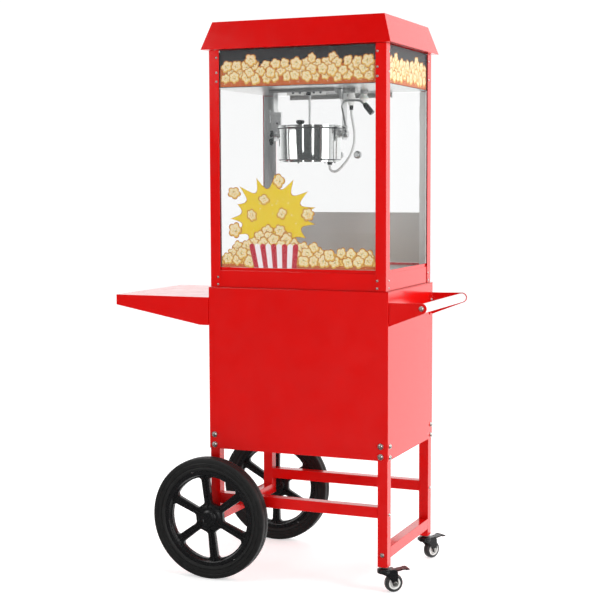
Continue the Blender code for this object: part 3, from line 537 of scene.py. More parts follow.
def apply_modifiers(obj, smooth):
    """Turns an object's modifiers into mesh, and smooths its shading up to an angle."""
    graph = bpy.context.evaluated_depsgraph_get()
    mesh = bpy.data.meshes.new_from_object(obj.evaluated_get(graph))
    obj.modifiers.clear()
    obj.data = mesh
    mesh.shade_smooth()
    mesh.set_sharp_from_angle(angle=radians(smooth))


def axle():
    low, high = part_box("wheel_axle")
    centre = middle("wheel_axle")
    bm = bmesh.new()
    reach = (high.y - low.y) / 2
    turned(bm, [(0.0074, -reach), (0.0079, -reach + 0.001), (0.0079, reach - 0.001), (0.0074, reach)],
           centre, BACK, 32)
    finish_piece("axle_shaft", bm, ZINC, smooth=40, stands_for=["wheel_axle"])
    collars = bmesh.new()
    for sy in (-1, 1):
        face = sy * 0.193
        rings = mm((8.3, 0), (13.5, 0), (13.5, 1.6), (11, 2.2), (8.3, 2.2))
        spun(collars, rings, (centre.x, face, centre.z), (0, sy, 0), 32)
    finish_piece("axle_washers", collars, ZINC, smooth=40)


# ---- casters ------------------------------------------------------------------------------------
def caster(end):
    """A swivel caster: a domed housing with two cheeks, a tread on a hub, a nut above and a pedal."""
    swivel, roll = JOINTS[f"caster_{end}_swivel"], JOINTS[f"caster_{end}_roll"]
    pin = Vector((swivel["pos_m"][0], swivel["pos_m"][1], 0.0))
    hub = Vector(roll["pos_m"])
    side = Vector(roll["axis"]).normalized()
    along = Vector((hub.x - pin.x, hub.y - pin.y, 0.0)).normalized()
    trail = Vector((hub.x - pin.x, hub.y - pin.y, 0.0)).length

    def at(s, z, t):
        return pin + along * s + side * t + Vector((0, 0, z))

    fork = bmesh.new()
    dome = mm((0, 53), (15, 53), (17.8, 54.2), (19, 56.5), (19, 59), (18.2, 59.6), (18.2, 60.6),
              (18.8, 61.2), (18.4, 64), (16.5, 66.2), (13.5, 67.6), (0, 68))
    spun(fork, dome, pin, UP, 40)
    cheek = mm((-15, 56), (-14, 64), (6, 64), (29, 64), (34.5, 56), (35, 45))
    cheek += arc((trail, hub.z), 0.0078, 5, -185, 10)
    cheek += mm((13, 38), (2, 48))
    for low, high in ((-0.0157, -0.0128), (0.0128, 0.0157)):
        slab(fork, cheek, at, low, high)
    box_top = mm((5, 60), (5, 64), (29, 64), (33.5, 57.5), (32, 54.5), (22, 56))
    slab(fork, box_top, at, -0.015, 0.015)
    finish_piece(f"caster_body_{end}", fork, BLACK, swivel["child"], bevel=0.0007,
                 stands_for=[f"caster_fork_{end}"])
    metal = bmesh.new()
    turned(metal, mm((10, 68.2), (10.5, 69), (10.5, 70.4)), pin, UP, 32)
    turned(metal, mm((7.6, 70.4), (8, 70.8), (8, 71.6)), pin, UP, 6)
    for t in (-1, 1):
        spun(metal, mm((0, 15.6), (6.2, 15.6), (6.2, 16.8), (5, 18), (0, 18.4)), hub, side * t, 24)
    finish_piece(f"caster_nuts_{end}", metal, ZINC, swivel["child"], smooth=30)

    tread = bmesh.new()
    right = mm((16.8, 9.8), (19.5, 10), (22.2, 9.2), (24, 7.2), (24.9, 4.5), (25, 0))
    spun(tread, right + [(r, -h) for r, h in reversed(right[:-1])], hub, side, 64)
    finish_piece(f"caster_tyre_{end}", tread, TREAD, roll["child"], smooth=40,
                 stands_for=[f"caster_wheel_{end}"])
    inner = bmesh.new()
    right = mm((4, 9.8), (7, 9.8), (7.4, 7), (12, 6.6), (12.4, 9.4), (13, 10.1), (16, 10.1), (16.6, 9.4))
    spun(inner, right + [(r, -h) for r, h in reversed(right)], hub, side, 64)
    finish_piece(f"caster_hub_{end}", inner, WHITE_PLASTIC, roll["child"], smooth=30)

    press = JOINTS[f"brake_{end}_press"]
    pedal = bmesh.new()
    lever = mm((21, 57), (30, 56.7), (42, 58.4), (52, 60.2), (64, 60.7), (68.4, 61.5), (69, 63), (67, 64),
               (50, 63.4), (40, 62.2), (30, 60.8), (21.5, 60.3))
    slab(pedal, lever, at, -0.0118, 0.0118)
    tip = mm((56.5, 60.6), (64, 60.7), (68.4, 61.5), (68.8, 62.8), (66.8, 63.7), (56.5, 63.4))
    slab(pedal, tip, at, -0.0172, 0.0172)
    for i in range(4):
        s = 0.058 + 0.0025 * i
        slab(pedal, [(s, 0.063), (s, 0.0641), (s + 0.0012, 0.0641), (s + 0.0012, 0.063)], at, -0.015, 0.015)
    finish_piece(f"caster_pedal_{end}", pedal, BLACK, press["child"], bevel=0.0005,
                 stands_for=[f"brake_pedal_{end}"])


# ---- fasteners ----------------------------------------------------------------------------------
def bolt(bm, place, normal, radius, socket=True):
    """A button head on a washer, with a socket pressed into it. The profiles are in units of its radius."""
    washer = [(0.0, 0.0), (1.3, 0.0), (1.3, 0.18), (1.18, 0.28), (0.0, 0.28)]
    head = [(0.0, 0.28), (1.0, 0.28), (1.0, 0.44), (0.86, 0.74), (0.62, 0.88)]
    head += [(0.44, 0.9), (0.42, 0.46), (0.0, 0.44)] if socket else [(0.0, 0.94)]
    for profile in (washer, head):
        spun(bm, [(radius * a, radius * b) for a, b in profile], place, normal, 24)


def bolts(bm, normal, xs, ys, zs, radius):
    """A bolt at each place that the three lists make."""
    for x in xs:
        for y in ys:
            for z in zs:
                bolt(bm, (x, y, z), normal, radius)


def fasteners():
    """Bolts of the cabinet, the legs and the handle, screws in the machine's posts, rivets in its header."""
    low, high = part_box("cabinet_shell")
    post_low, post_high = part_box("post_front_left")[0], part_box("post_rear_right")[1]
    plate_low, plate_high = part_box("handle_plate_front")[0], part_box("handle_plate_rear")[1]
    foot_low, foot_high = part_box("leg_front_right")[0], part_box("leg_rear_right")[1]
    bar = middle("handle_bar")
    header_rows, base_rows = (1.4425, 1.402, 1.3775), (0.842, 0.822)
    carts, posts, handles, legs, rivets = (bmesh.new() for _ in range(5))
    for sy, y in ((-1, low.y), (1, high.y)):
        bolts(carts, (0, sy, 0), (CX - 0.249, CX + 0.243), (y,), (0.4, 0.372), 0.0064)
    for sx, x in ((-1, low.x), (1, high.x)):
        bolts(carts, (sx, 0, 0), (x,), (-0.18, 0.18), (0.4, 0.37), 0.0056)
    bolts(posts, FRONT, (CX - 0.2347, CX + 0.2325), (post_low.y,), header_rows + base_rows, 0.0026)
    bolts(posts, BACK, (CX - 0.2347, CX + 0.2325), (post_high.y,), header_rows, 0.0026)
    for sx, x in ((-1, post_low.x), (1, post_high.x)):
        bolts(posts, (sx, 0, 0), (x,), (-0.17, 0.17), (1.4425, 1.39, *base_rows), 0.0024)
    for sy, y in ((-1, plate_low.y), (1, plate_high.y)):
        bolt(handles, (bar.x, y, bar.z), (0, sy, 0), 0.0056)
    bolts(handles, (1, 0, 0), (high.x + 0.0024,), (-0.178, 0.178), (0.738, 0.765), 0.0034)
    for sy, y in ((-1, foot_low.y), (1, foot_high.y)):
        bolt(legs, (CX + 0.2476, y, 0.105), (0, sy, 0), 0.0048)
    bolts(legs, (1, 0, 0), (foot_high.x,), (-0.1785, 0.1785), (0.214,), 0.0038)
    for name, bm in (("cart_bolts", carts), ("machine_screws", posts), ("handle_bolts", handles),
                     ("leg_bolts", legs)):
        finish_piece(name, bm, ZINC, smooth=35)
    for x in (CX - 0.2, CX - 0.1, CX, CX + 0.1, CX + 0.2):
        for sy in (-1, 1):
            bolt(rivets, (x, sy * (post_high.y + 0.0008), 1.46), (0, sy, 0), 0.0022, socket=False)
    finish_piece("header_rivets", rivets, DARK_STEEL, smooth=35)


# ---- handle -------------------------------------------------------------------------------------
def handle():
    low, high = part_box("handle_bar")
    centre = middle("handle_bar")
    radius, reach = (high.z - low.z) / 2, (high.y - low.y) / 2
    bm = bmesh.new()
    profile = [(0.0, -reach), (radius - 0.001, -reach), (radius, -reach + 0.001), (radius, reach - 0.001),
               (radius - 0.001, reach), (0.0, reach)]
    spun(bm, profile, centre, BACK, 64)
    finish_piece("handle_tube", bm, BAR, smooth=30, stands_for=["handle_bar"], slot="handle_bar")


# ---- kettle -------------------------------------------------------------------------------------
KX, KY, TILT_Z = JOINTS["kettle_tilt"]["pos_m"]


def kettle_body():
    """The polished pot with its rolled rim, heater base, lugs and pivots."""
    z0, z1 = 1.158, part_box("kettle_pot")[1].z
    r = 0.088
    outside = [(0.0, z0)]
    outside += mm((-6, 0), (-5.2, 0.6), (-5, 4.8), (-3, 6.4), (-0.6, 7), (0, 8), (-0.5, 9), at=(r, z0))
    outside += mm((-0.5, -5.8), (0.5, -4.6), at=(r, z1))
    rim = [(r + 0.0016 + 0.0014 * cos(a),
            z1 - 0.0022 + 0.0021 * sin(a)) for a in [radians(-100 + 28 * i) for i in range(8)]]
    inside = mm((-1.4, -0.6), (-1.8, -4), at=(r, z1)) + mm((-1.8, 16), (-6, 12),
                                                           at=(r, z0)) + [(0.0, z0 + 0.012)]
    bm = bmesh.new()
    spun(bm, outside + rim + inside, (KX, KY, 0), UP, 128)
    finish_piece("kettle_shell", bm, MIRROR, "kettle", smooth=35, stands_for=["kettle_pot"])
    fittings = bmesh.new()
    for sx in (-1, 1):
        lug = sorted((KX + sx * 0.0868, KX + sx * 0.0955))
        box(fittings, (lug[0], KY - 0.011, TILT_Z - 0.009), (lug[1], KY + 0.011, TILT_Z + 0.014))
        rod(fittings, (KX + sx * 0.095, KY, TILT_Z), (KX + sx * 0.1068, KY, TILT_Z), 0.005)
    half = 0.087
    box(fittings, (KX - half, KY - 0.008, z1 - 0.0065), (KX - 0.005, KY + 0.008, z1 - 0.0045))
    box(fittings, (KX + 0.005, KY - 0.008, z1 - 0.0065), (KX + half, KY + 0.008, z1 - 0.0045))
    finish_piece("kettle_fittings", fittings, STEEL_X, "kettle", bevel=0.0006)
    heads = bmesh.new()
    for sx in (-1, 1):
        for dy in (-0.0072, 0.0072):
            bolt(heads, (KX + sx * 0.0955, KY + dy, TILT_Z + 0.0085), (sx, 0, 0), 0.002)
    finish_piece("kettle_rivets", heads, DARK_STEEL, "kettle", smooth=35)
    # Two dark steel rings on the pot: one over the join of the heater base and the pot, and one under the
    # rolled rim, which is a painted dark reflection.
    band = bmesh.new()
    spun(band, mm((-5.2, 5), (-0.6, 6.9), (0.4, 7.6), (-0.2, 8.4), (-6, 6.4), at=(r, z0)), (KX, KY, 0), UP,
         128)
    spun(band, mm((0.1, -7.2), (1.6, -6), (2.6, -4.6), (0.1, -4.6), at=(r, z1)), (KX, KY, 0), UP, 128)
    finish_piece("kettle_seam", band, DARK_STEEL, "kettle", smooth=40)
    gland = Vector((CX + LEAD_ROUTE[-1][0], LEAD_Y, 0))
    under = bmesh.new()
    top = z0 - 0.0001
    rings = mm((0, 0), (8.5, 0), (8.5, -2), (7, -2.6), at=(0.0, top))
    for i in range(3):
        rings += mm((6.8, 0), (6.8, -0.8), (6, -1), (6, -1.4), at=(0.0, top - 0.0028 - 0.0016 * i))
    rings = [(radius, max(z, 1.1506)) for radius, z in rings] + [(0.0, 1.1506)]
    spun(under, rings, gland, UP, 32)
    for dx in (-0.015, 0.015):
        bolt(under, (gland.x + dx, gland.y, top), DOWN, 0.0024)
    bolt(under, (KX - 0.035, KY, top), DOWN, 0.0026)
    finish_piece("kettle_gland", under, BLACK, "kettle", smooth=35)


def kettle_lids():
    for end, sy in (("front", -1), ("rear", 1)):
        node = f"kettle_lid_{end}"
        low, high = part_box(node)
        near = low.y if sy > 0 else high.y
        radius = 0.0895
        start = 180 / pi * atan2(abs(near - KY), radius)
        rim = arc((KX, KY), radius, sy * start, sy * (180 - start), 40)
        notch = arc((KX, KY), 0.0115, sy * 175, sy * 5, 8)
        notch = [(a, near if abs(b - KY) < abs(near - KY) else b) for a, b in notch]
        bm = bmesh.new()
        slab(bm, rim + notch, along_z, low.z, high.z)
        lip_out = arc((KX, KY), radius - 0.0004, sy * (start + 3), sy * (177 - start), 40)
        lip_in = arc((KX, KY), radius - 0.0034, sy * (177 - start), sy * (start + 3), 40)
        slab(bm, lip_out + lip_in, along_z, high.z - 0.0002, high.z + 0.0012)
        body = f"lid_{end}"
        finish_piece(f"lid_{end}_plate", bm, MIRROR, body, smooth=30, stands_for=[node])
        if sy > 0:
            continue
        knob = bmesh.new()
        base = (KX - 0.01, KY + sy * 0.045, high.z)
        spun(knob, mm((0, 0), (6.2, 0), (5.6, 3), (10, 6), (11.8, 10), (11.8, 12.5), (9.5, 15), (0, 15.8)),
             base, UP, 32)
        finish_piece(f"lid_{end}_knob", knob, BLACK, body, smooth=30)


def stirrer_and_drive():
    low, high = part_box("stirrer")
    bm = bmesh.new()
    turned(bm, [(0.0035, low.z + 0.001), (0.0035, high.z - 0.0008), (0.0028, high.z)], (KX, KY, 0), UP, 24)
    turned(bm, mm((8, 0), (8, 16), (6, 18), at=(0.0, low.z)), (KX, KY, 0), UP, 32)
    for sx in (-1, 1):
        ends = sorted((KX + sx * 0.006, KX + sx * 0.074))
        box(bm, (ends[0], KY - 0.0019, low.z), (ends[1], KY + 0.0019, low.z + 0.0085))
    finish_piece("stirrer_rod", bm, STEEL_Z, "stirrer", smooth=35, stands_for=["stirrer"])
    low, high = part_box("drive_coupler")
    hub = bmesh.new()
    turned(hub, mm((9.4, 0), (10.4, 1), (10.4, 6), (8.6, 6.8), (8.6, 8.2), (10.4, 9), (10, 12),
                   (4.8, 12.5), at=(0.0, low.z)) + [(0.0048, high.z)], (KX, KY, 0), UP, 32)
    finish_piece("coupler_hub", hub, BLACK, "coupler", smooth=35, stands_for=["drive_coupler"])


def dump_handle():
    """The bent rod that tips the kettle, with a ribbed black grip."""
    front = KY - 0.035
    plane = KX + 0.111
    route = [
        (plane, KY, TILT_Z), (plane, KY - 0.01, TILT_Z + 0.024), (plane, front + 0.004, 1.3),
        (plane, front, 1.312), (plane + 0.005, front, 1.321), (plane + 0.014, front, 1.325),
        (CX + 0.125, front, 1.325), (CX + 0.135, front, 1.3225), (CX + 0.142, front, 1.3165),
        (CX + 0.15, front, 1.31),
    ]
    bm = bmesh.new()
    wire(bm, smooth_line(route, 8), 0.0033, 16)
    turned(bm, mm((8.8, -3.8), (9.5, -3), (9.5, 3), (8.8, 3.8)), (plane, KY, TILT_Z), (1, 0, 0), 32)
    finish_piece("dump_rod", bm, STEEL_Z, "kettle", smooth=40, stands_for=["dump_handle"])
    start, end = Vector((CX + 0.1454, front, 1.3157)), Vector((CX + 0.1685, front, 1.2885))
    reach = (end - start).length
    grip = mm((0, 0), (5, 0), (6.6, 2), (7.2, 6))
    for i in range(4):
        grip += mm((8, 0), (8.2, 3.6), (7.4, 4.2), (7.4, 5.2), at=(0.0, 0.009 + 0.0058 * i))
    grip += mm((8.2, -2), (7.4, 0), (0, 0), at=(0.0, reach))
    bm = bmesh.new()
    spun(bm, grip, start, end - start, 32)
    finish_piece("dump_grip", bm, BLACK, "kettle", smooth=35)


# ---- chamber fittings ---------------------------------------------------------------------------
def chamber():
    """Liners in the corners, the ceiling's rails and guards, the hangers' trim and the lamp."""
    liners, painted_reflection_liner = bmesh.new(), bmesh.new()
    inner_x = abs(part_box("glass_left")[1].x - CX)
    inner_y = -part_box("glass_front")[1].y
    width = 0.027
    for sx in (-1, 1):
        x = CX + sx * inner_x
        for sy in (-1, 1):
            y = sy * (inner_y - SKIN)
            outline = [(x, y), (x - sx * width, y), (x - sx * width, y - sy * 0.001),
                       (x - sx * 0.001, y - sy * 0.001), (x - sx * 0.001, y - sy * width),
                       (x, y - sy * width)]
            if sy > 0:
                outline = [(a, b - 0.0008) for a, b in outline]
            # The rear right liner is white where the others are steel: a painted reflection of the bright
            # surround on that corner.
            slab(painted_reflection_liner if sx > 0 and sy > 0 else liners, outline, along_z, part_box("deck")[1].z + SKIN,
                 1.359)
    finish_piece("corner_liners", liners, STEEL_Z)
    finish_piece("corner_liner_pale", painted_reflection_liner, WHITE_PLASTIC)
    ceiling = 1.3597
    trim = bmesh.new()
    box(trim, (KX - 0.1, KY - 0.055, ceiling - 0.009), (KX + 0.096, KY - 0.0535, ceiling))
    box(trim, (KX - 0.1, KY - 0.054, ceiling - 0.0012), (KX + 0.096, KY - 0.03, ceiling - SKIN))
    finish_piece("ceiling_rail", trim, STEEL_X, bevel=0.0003)
    guard = bmesh.new()
    box(guard, (KX - 0.062, KY - 0.018, ceiling - 0.015), (KX - 0.011, KY - 0.0165, ceiling - SKIN))
    box(guard, (KX + 0.011, KY - 0.018, ceiling - 0.015), (KX + 0.056, KY - 0.0165, ceiling - SKIN))
    finish_piece("drive_guard", guard, WHITE_PLASTIC, bevel=0.0003)
    # Four flat dark discs on the guard's face: painted shade that stands for the guard's four dark slots.
    slots = bmesh.new()
    for x in (KX - 0.043, KX - 0.022, KX + 0.02, KX + 0.04):
        turned(slots, mm((3.4, 0), (3.4, 1)), (x, KY - 0.0181, ceiling - 0.008), FRONT, 20)
    finish_piece("guard_screws", slots, DARK_STEEL, smooth=30)
    beam = bmesh.new()
    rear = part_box("rear_panel")[0].y
    box(beam, (CX - 0.17, rear - 0.026, ceiling - 0.014), (CX + 0.15, rear - 0.0245, ceiling - SKIN))
    box(beam, (CX - 0.17, rear - 0.026, ceiling - 0.0152), (CX + 0.15, rear - 0.014, ceiling - 0.014))
    finish_piece("rear_beam", beam, STEEL_X, bevel=0.0003)
    lamp()
    hanger_trim()


def lamp():
    low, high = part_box("lamp")
    centre = middle("lamp")
    bm = bmesh.new()
    r = (high.x - low.x) / 2
    bulb = [(0.0, low.z)]
    bulb += [(r * sin(radians(a)), low.z + r - r * cos(radians(a))) for a in (15, 30, 45, 60, 75, 90, 105,
                                                                              120)]
    bulb += mm((9, 1344.5), (8.2, 1350), (0, 1350))
    spun(bm, bulb, (centre.x, centre.y, 0), UP, 48)
    finish_piece("lamp_bulb", bm, BULB, smooth=50, stands_for=["lamp"])
    bm = bmesh.new()
    turned(bm, mm((9.2, 1349.5), (10, 1350.5), (10.8, 1352), (10.8, 1359.5)), (centre.x, centre.y, 0), UP,
           40)
    finish_piece("lamp_holder", bm, GREY_PLASTIC, smooth=30)


def hanger_trim():
    """The latch and its knob on the left hanger, and the gusset and clip on the right one."""
    low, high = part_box("hanger_left")
    face = low.y - SKIN
    latch = bmesh.new()
    x0, x1 = low.x - 0.006, high.x + 0.003
    box(latch, (x0, face - 0.0012, 1.242), (x1, face, 1.296))
    box(latch, (x0 - 0.001, face - 0.006, 1.29), (x1 + 0.001, face, 1.299))
    box(latch, (x0 + 0.001, face - 0.0045, 1.25), (x1 - 0.001, face - 0.001, 1.286))
    box(latch, (x0 - 0.0045, face - 0.003, 1.27), (x0 - 0.002, face + 0.006, 1.305))
    finish_piece("hanger_latch", latch, STEEL_Z, bevel=0.0005)
    dark = bmesh.new()
    spun(dark, mm((0, 0), (5.5, 0), (6, 1.5), (6, 8), (4.5, 9.5), (0, 9.8)), (x0 + 0.004, face, 1.235),
         FRONT, 24)
    grip = mm((-4, 1223), (7, 1227), (9.5, 1212), (5, 1206), (-1, 1209))
    slab(dark, [(x0 + a, z) for a, z in grip], along_y, face - 0.007, face - 0.001)
    box(dark, (x0 - 0.0005, face - 0.005, 1.24), (x0 + 0.007, face - 0.0005, 1.248))
    finish_piece("hanger_knob", dark, BLACK, smooth=35, bevel=0.0004)
    low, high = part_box("hanger_right")
    gusset = bmesh.new()
    inner = low.x + 0.018
    outline = mm((0, 1359), (-25, 1359), (-18, 1351), (-8, 1342), (-1.5, 1325), (0, 1315), at=(inner, 0.0))
    slab(gusset, outline, along_y, face - 0.0012, face)
    finish_piece("hanger_gusset", gusset, STEEL_Z, bevel=0.0003)
    clips = bmesh.new()
    box(clips, (high.x - 0.004, face - 0.0016, 1.238), (high.x + 0.013, face, 1.258))
    box(clips, (high.x + 0.0118, face - 0.006, 1.24), (high.x + 0.013, face, 1.256))
    finish_piece("hanger_clip", clips, STEEL_X, bevel=0.0003)
    small = bmesh.new()
    bolt(small, (high.x + 0.003, face - 0.0016, 1.253), FRONT, 0.0022)
    bolt(small, (high.x + 0.0085, face - 0.0016, 1.243), FRONT, 0.0022)
    bolt(small, (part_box("hanger_left")[1].x - 0.008, face - 0.0045, 1.268), FRONT, 0.0024)
    finish_piece("hanger_screws", small, DARK_STEEL, smooth=35)


# ---- rear ---------------------------------------------------------------------------------------
def rear_fittings():
    """Knobs and hinges of the clear doors, hinges and pull of the cabinet door, and the switches' bezels."""
    for side, sx in (("left", -1), ("right", 1)):
        low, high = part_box(f"door_knob_{side}")
        centre = middle(f"door_knob_{side}")
        bm = bmesh.new()
        spun(bm, mm((0, 0), (6.8, 0), (6.6, 1), (5.2, 5), (6, 7.5), (11.2, 10), (12, 11.5), (12, 17),
                    (10.8, 19), (6, 19.6), (0, 19)), (centre.x, low.y, centre.z), BACK, 40)
        finish_piece(f"knob_{side}", bm, STEEL_Z, f"rear_door_{side}", smooth=30,
                     stands_for=[f"door_knob_{side}"])
        hinge = Vector(JOINTS[f"rear_door_{side}_hinge"]["pos_m"])
        pins = bmesh.new()
        for z in (1.075, 1.298):
            turned(pins, mm((2.6, -20), (3, -19), (3, 19), (2.6, 20)), (hinge.x, hinge.y, z), UP, 20)
        finish_piece(f"hinge_pins_{side}", pins, WHITE_PLASTIC, f"rear_door_{side}", smooth=40)
        leaves = bmesh.new()
        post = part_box(f"post_rear_{side}")[1].y + SKIN
        for z in (1.075, 1.298):
            edges = sorted((hinge.x + sx * 0.0035, hinge.x + sx * 0.02))
            box(leaves, (edges[0], post, z - 0.018), (edges[1], post + 0.0016, z + 0.018))
            for dz in (-0.011, 0.011):
                bolt(leaves, (hinge.x + sx * 0.013, post + 0.0016, z + dz), BACK, 0.0022)
        finish_piece(f"hinge_leaves_{side}", leaves, STEEL_Z, smooth=35)
    joint = JOINTS["cabinet_door_hinge"]["pos_m"]
    on_door, on_cart = bmesh.new(), bmesh.new()
    for z in (0.505, 0.73):
        for i in range(5):
            z0 = z - 0.025 + 0.01 * i
            target = on_door if i % 2 else on_cart
            turned(target, [(0.003, z0 + 0.0003), (0.003, z0 + 0.0097)], (joint[0], joint[1], 0), UP, 20)
        low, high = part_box("cabinet_shell")
        box(on_cart, (joint[0] - 0.018, high.y + SKIN, z - 0.025), (joint[0] - 0.0022, high.y + 0.0016,
                                                                    z + 0.025))
        for dz in (-0.015, 0.015):
            bolt(on_cart, (joint[0] - 0.011, high.y + 0.0016, z + dz), BACK, 0.0024)
    finish_piece("door_knuckles", on_door, ZINC, "cabinet_door", smooth=35)
    finish_piece("door_hinges", on_cart, ZINC, smooth=35)
    pull = bmesh.new()
    low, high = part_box("cabinet_door")
    x, y, z = high.x - 0.03, high.y - 0.005, (low.z + high.z) / 2
    turned(pull, mm((4.6, -56), (5.6, -54.5), (5.6, 54.5), (4.6, 56)), (x, y, z), UP, 32)
    for dz in (-0.045, 0.045):
        turned(pull, mm((8.5, -18), (8, -16.8), (5.2, -15), (4.9, 0)), (x, y, z + dz), BACK, 28)
    finish_piece("door_pull", pull, BAR, "cabinet_door", smooth=35, slot="stainless")
    bezels = bmesh.new()
    for name in ("power", "heat", "light"):
        centre = middle(f"rocker_{name}")
        z = JOINTS[f"rocker_{name}_press"]["pos_m"][2]
        wide, tall = 0.01, 0.0145
        inner_x, inner_z = 0.007, 0.0109
        y0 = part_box("rear_panel")[1].y + SKIN
        for sx in (-1, 1):
            edges = sorted((centre.x + sx * wide, centre.x + sx * inner_x))
            box(bezels, (edges[0], y0, z - tall), (edges[1], y0 + 0.0016, z + tall))
            edges = sorted((z + sx * tall, z + sx * inner_z))
            box(bezels, (centre.x - inner_x, y0, edges[0]), (centre.x + inner_x, y0 + 0.0016, edges[1]))
    finish_piece("switch_bezels", bezels, BLACK, bevel=0.0005)


# ---- decals -------------------------------------------------------------------------------------
STEP = 0.000025             # from one printed layer to the next
LEVELS = 16


class Print:
    """A decal on the inside of a pane. Its shapes lie in layers, and the first is nearest the glass."""

    def __init__(self, place):
        self.bm = bmesh.new()
        self.place = place
        self.done = []

    def shape(self, outline, level, ink):
        """A flat shape as one face, so many layers deep."""
        ring = [self.bm.verts.new(self.place(a, b, level * STEP)) for a, b in outline]
        self.bm.faces.new(ring).material_index = ink

    def star_shape(self, centre, outline, level, ink):
        """As shape, but a fan about a centre that sees the whole outline."""
        hub = self.bm.verts.new(self.place(*centre, level * STEP))
        ring = [self.bm.verts.new(self.place(a, b, level * STEP)) for a, b in outline]
        for i, vert in enumerate(ring):
            self.bm.faces.new((hub, vert, ring[(i + 1) % len(ring)])).material_index = ink

    def kernel(self, rng, a, b, size):
        """A popped kernel: a lobed cloud with an outline, shade and folds, at a level of its own."""
        taken = {level for x, y, reach, level in self.done if hypot(a - x, b - y) < 1.15 * (size + reach)}
        top = rng.choice([level for level in range(1, LEVELS) if level not in taken])
        self.done.append((a, b, size, top))
        lobes = rng.choice((4, 5, 5, 6))
        phase = rng.uniform(0, pi)
        squash = rng.uniform(0.8, 0.98)
        tilt = rng.uniform(0, pi)
        turn_cos, turn_sin = cos(tilt), sin(tilt)

        def spread(x, y, shift=(0.0, 0.0)):
            y *= squash
            return a + shift[0] + x * turn_cos - y * turn_sin, b + shift[1] + x * turn_sin + y * turn_cos

        def cloud(grow, shift=(0.0, 0.0)):
            ring = []
            for k in range(42):
                t = 2 * pi * k / 42
                lobe = abs(cos(lobes * t / 2 + phase)) ** 0.6
                r = size * grow * (0.66 + 0.34 * lobe)
                ring.append(spread(r * cos(t), r * sin(t), shift))
            return ring

        level = LEVELS - top
        self.star_shape((a, b), cloud(1.08), level + 0.94, PALE)
        self.star_shape((a, b), cloud(1.1), level + 0.8, OUTLINE)
        self.star_shape((a, b), cloud(0.98), level + 0.6, GOLD)
        lift = (-0.04 * size, 0.07 * size)
        self.star_shape((a + lift[0], b + lift[1]), cloud(0.8, lift), level + 0.4, CREAM)
        for k in range(lobes):
            t = (2 * pi * (k + 0.5) - 2 * phase) / lobes + 0.3 * rng.uniform(-1, 1)
            middle_of = (0.42 * size * cos(t), 0.42 * size * sin(t))
            self.stroke(spread, middle_of, size * rng.uniform(0.2, 0.27), t + rng.uniform(1.0, 1.8),
                        level + 0.2, GOLD)
        self.stroke(spread, (0.04 * size, -0.02 * size), 0.24 * size, tilt + 1.0, level, OLIVE)

    def stroke(self, spread, centre, radius, turn, level, ink):
        """A curved stroke that is thick in its middle: a fold in a kernel."""
        angles = [turn + 0.28 * k for k in range(9)]
        outer = [spread(centre[0] + radius * cos(t), centre[1] + radius * sin(t)) for t in angles]
        inner = []
        for k in range(7, 0, -1):
            thin = radius * (1 - 0.6 * sin(pi * k / 8))
            inner.append(spread(centre[0] + thin * cos(angles[k]), centre[1] + thin * sin(angles[k])))
        self.shape(outer + inner, level, ink)

    def finish(self, name):
        finish_piece(name, self.bm, INKS)


def front_print(a, b, depth):
    return Vector((a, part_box("glass_front")[1].y + 0.00008 + depth, b))


def side_print(side):
    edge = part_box("glass_left")[1].x if side == "left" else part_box("glass_right")[0].x
    sign = 1 if side == "left" else -1
    return lambda a, b, depth: Vector((edge + sign * (0.00008 + depth), a, b))


def along_row(rng, left, right, size, pitch, row):
    """Places along a row of kernels, each a little out of step. Odd rows are set half a pitch on."""
    count = round((right - left) / pitch)
    for i in range(count + 1):
        even = left + size + (right - left - 2 * size) * (i + 0.5 * (row % 2)) / count
        yield even + rng.uniform(-0.004, 0.004)


def header(name, place, half, middle_a, seed):
    """A band of kernels over a brown strip, on black, along the top of a pane."""
    rng = random.Random(seed)
    sheet = Print(place)
    low, high = 1.363, 1.462
    left, right = middle_a - half, middle_a + half

    def crest(a):
        return 1.4285 + 0.005 * sin(31 * a + seed) + 0.0035 * sin(67 * a + 2 * seed)

    sheet.shape([(left, low), (right, low), (right, high), (left, high)], LEVELS + 1.5, DARK)
    steps = [left + (right - left) * i / 40 for i in range(41)]
    sheet.shape([(a, crest(a) - 0.012) for a in steps] + [(right, low), (left, low)], LEVELS + 0.9, STRIP)
    size = 0.0172
    for row in range(4):
        b = 1.3845 + 0.0165 * row
        for a in along_row(rng, left, right, size, 0.033, row):
            wobble = rng.uniform(-0.004, 0.004)
            grown = size * rng.uniform(0.86, 1.12)
            a = min(max(a, left + grown * 1.1), right - grown * 1.1)
            if b + wobble < crest(a):
                sheet.kernel(rng, a, b + wobble, grown)
    for i in range(int((right - left) / 0.03)):
        a = left + 0.02 + 0.03 * i + rng.uniform(-0.008, 0.008)
        if a < right - 0.004:
            sheet.star_shape((a, 1.3705), arc((a, 1.3705), 0.0013, 0, 324, 9), LEVELS + 0.4, CREAM)
    sheet.finish(name)


def spiky_outline(rng, centre, grow):
    """A burst: sharp tips with round valleys between them."""
    spikes, points = 15, []
    tips = [rng.uniform(0.108, 0.138) for _ in range(spikes)]
    valley = 0.09
    for i in range(spikes):
        for k in range(12):
            t = k / 12
            near, following = tips[i], tips[(i + 1) % spikes]
            tip = near if t < 0.5 else following
            r = valley + (tip - valley) * abs(2 * t - 1) ** 2.4
            angle = 2 * pi * (i + t) / spikes + 0.25
            points.append((centre[0] + (r + grow) * cos(angle) * 1.02,
                           centre[1] + (r + grow) * sin(angle) * 0.86))
    return points


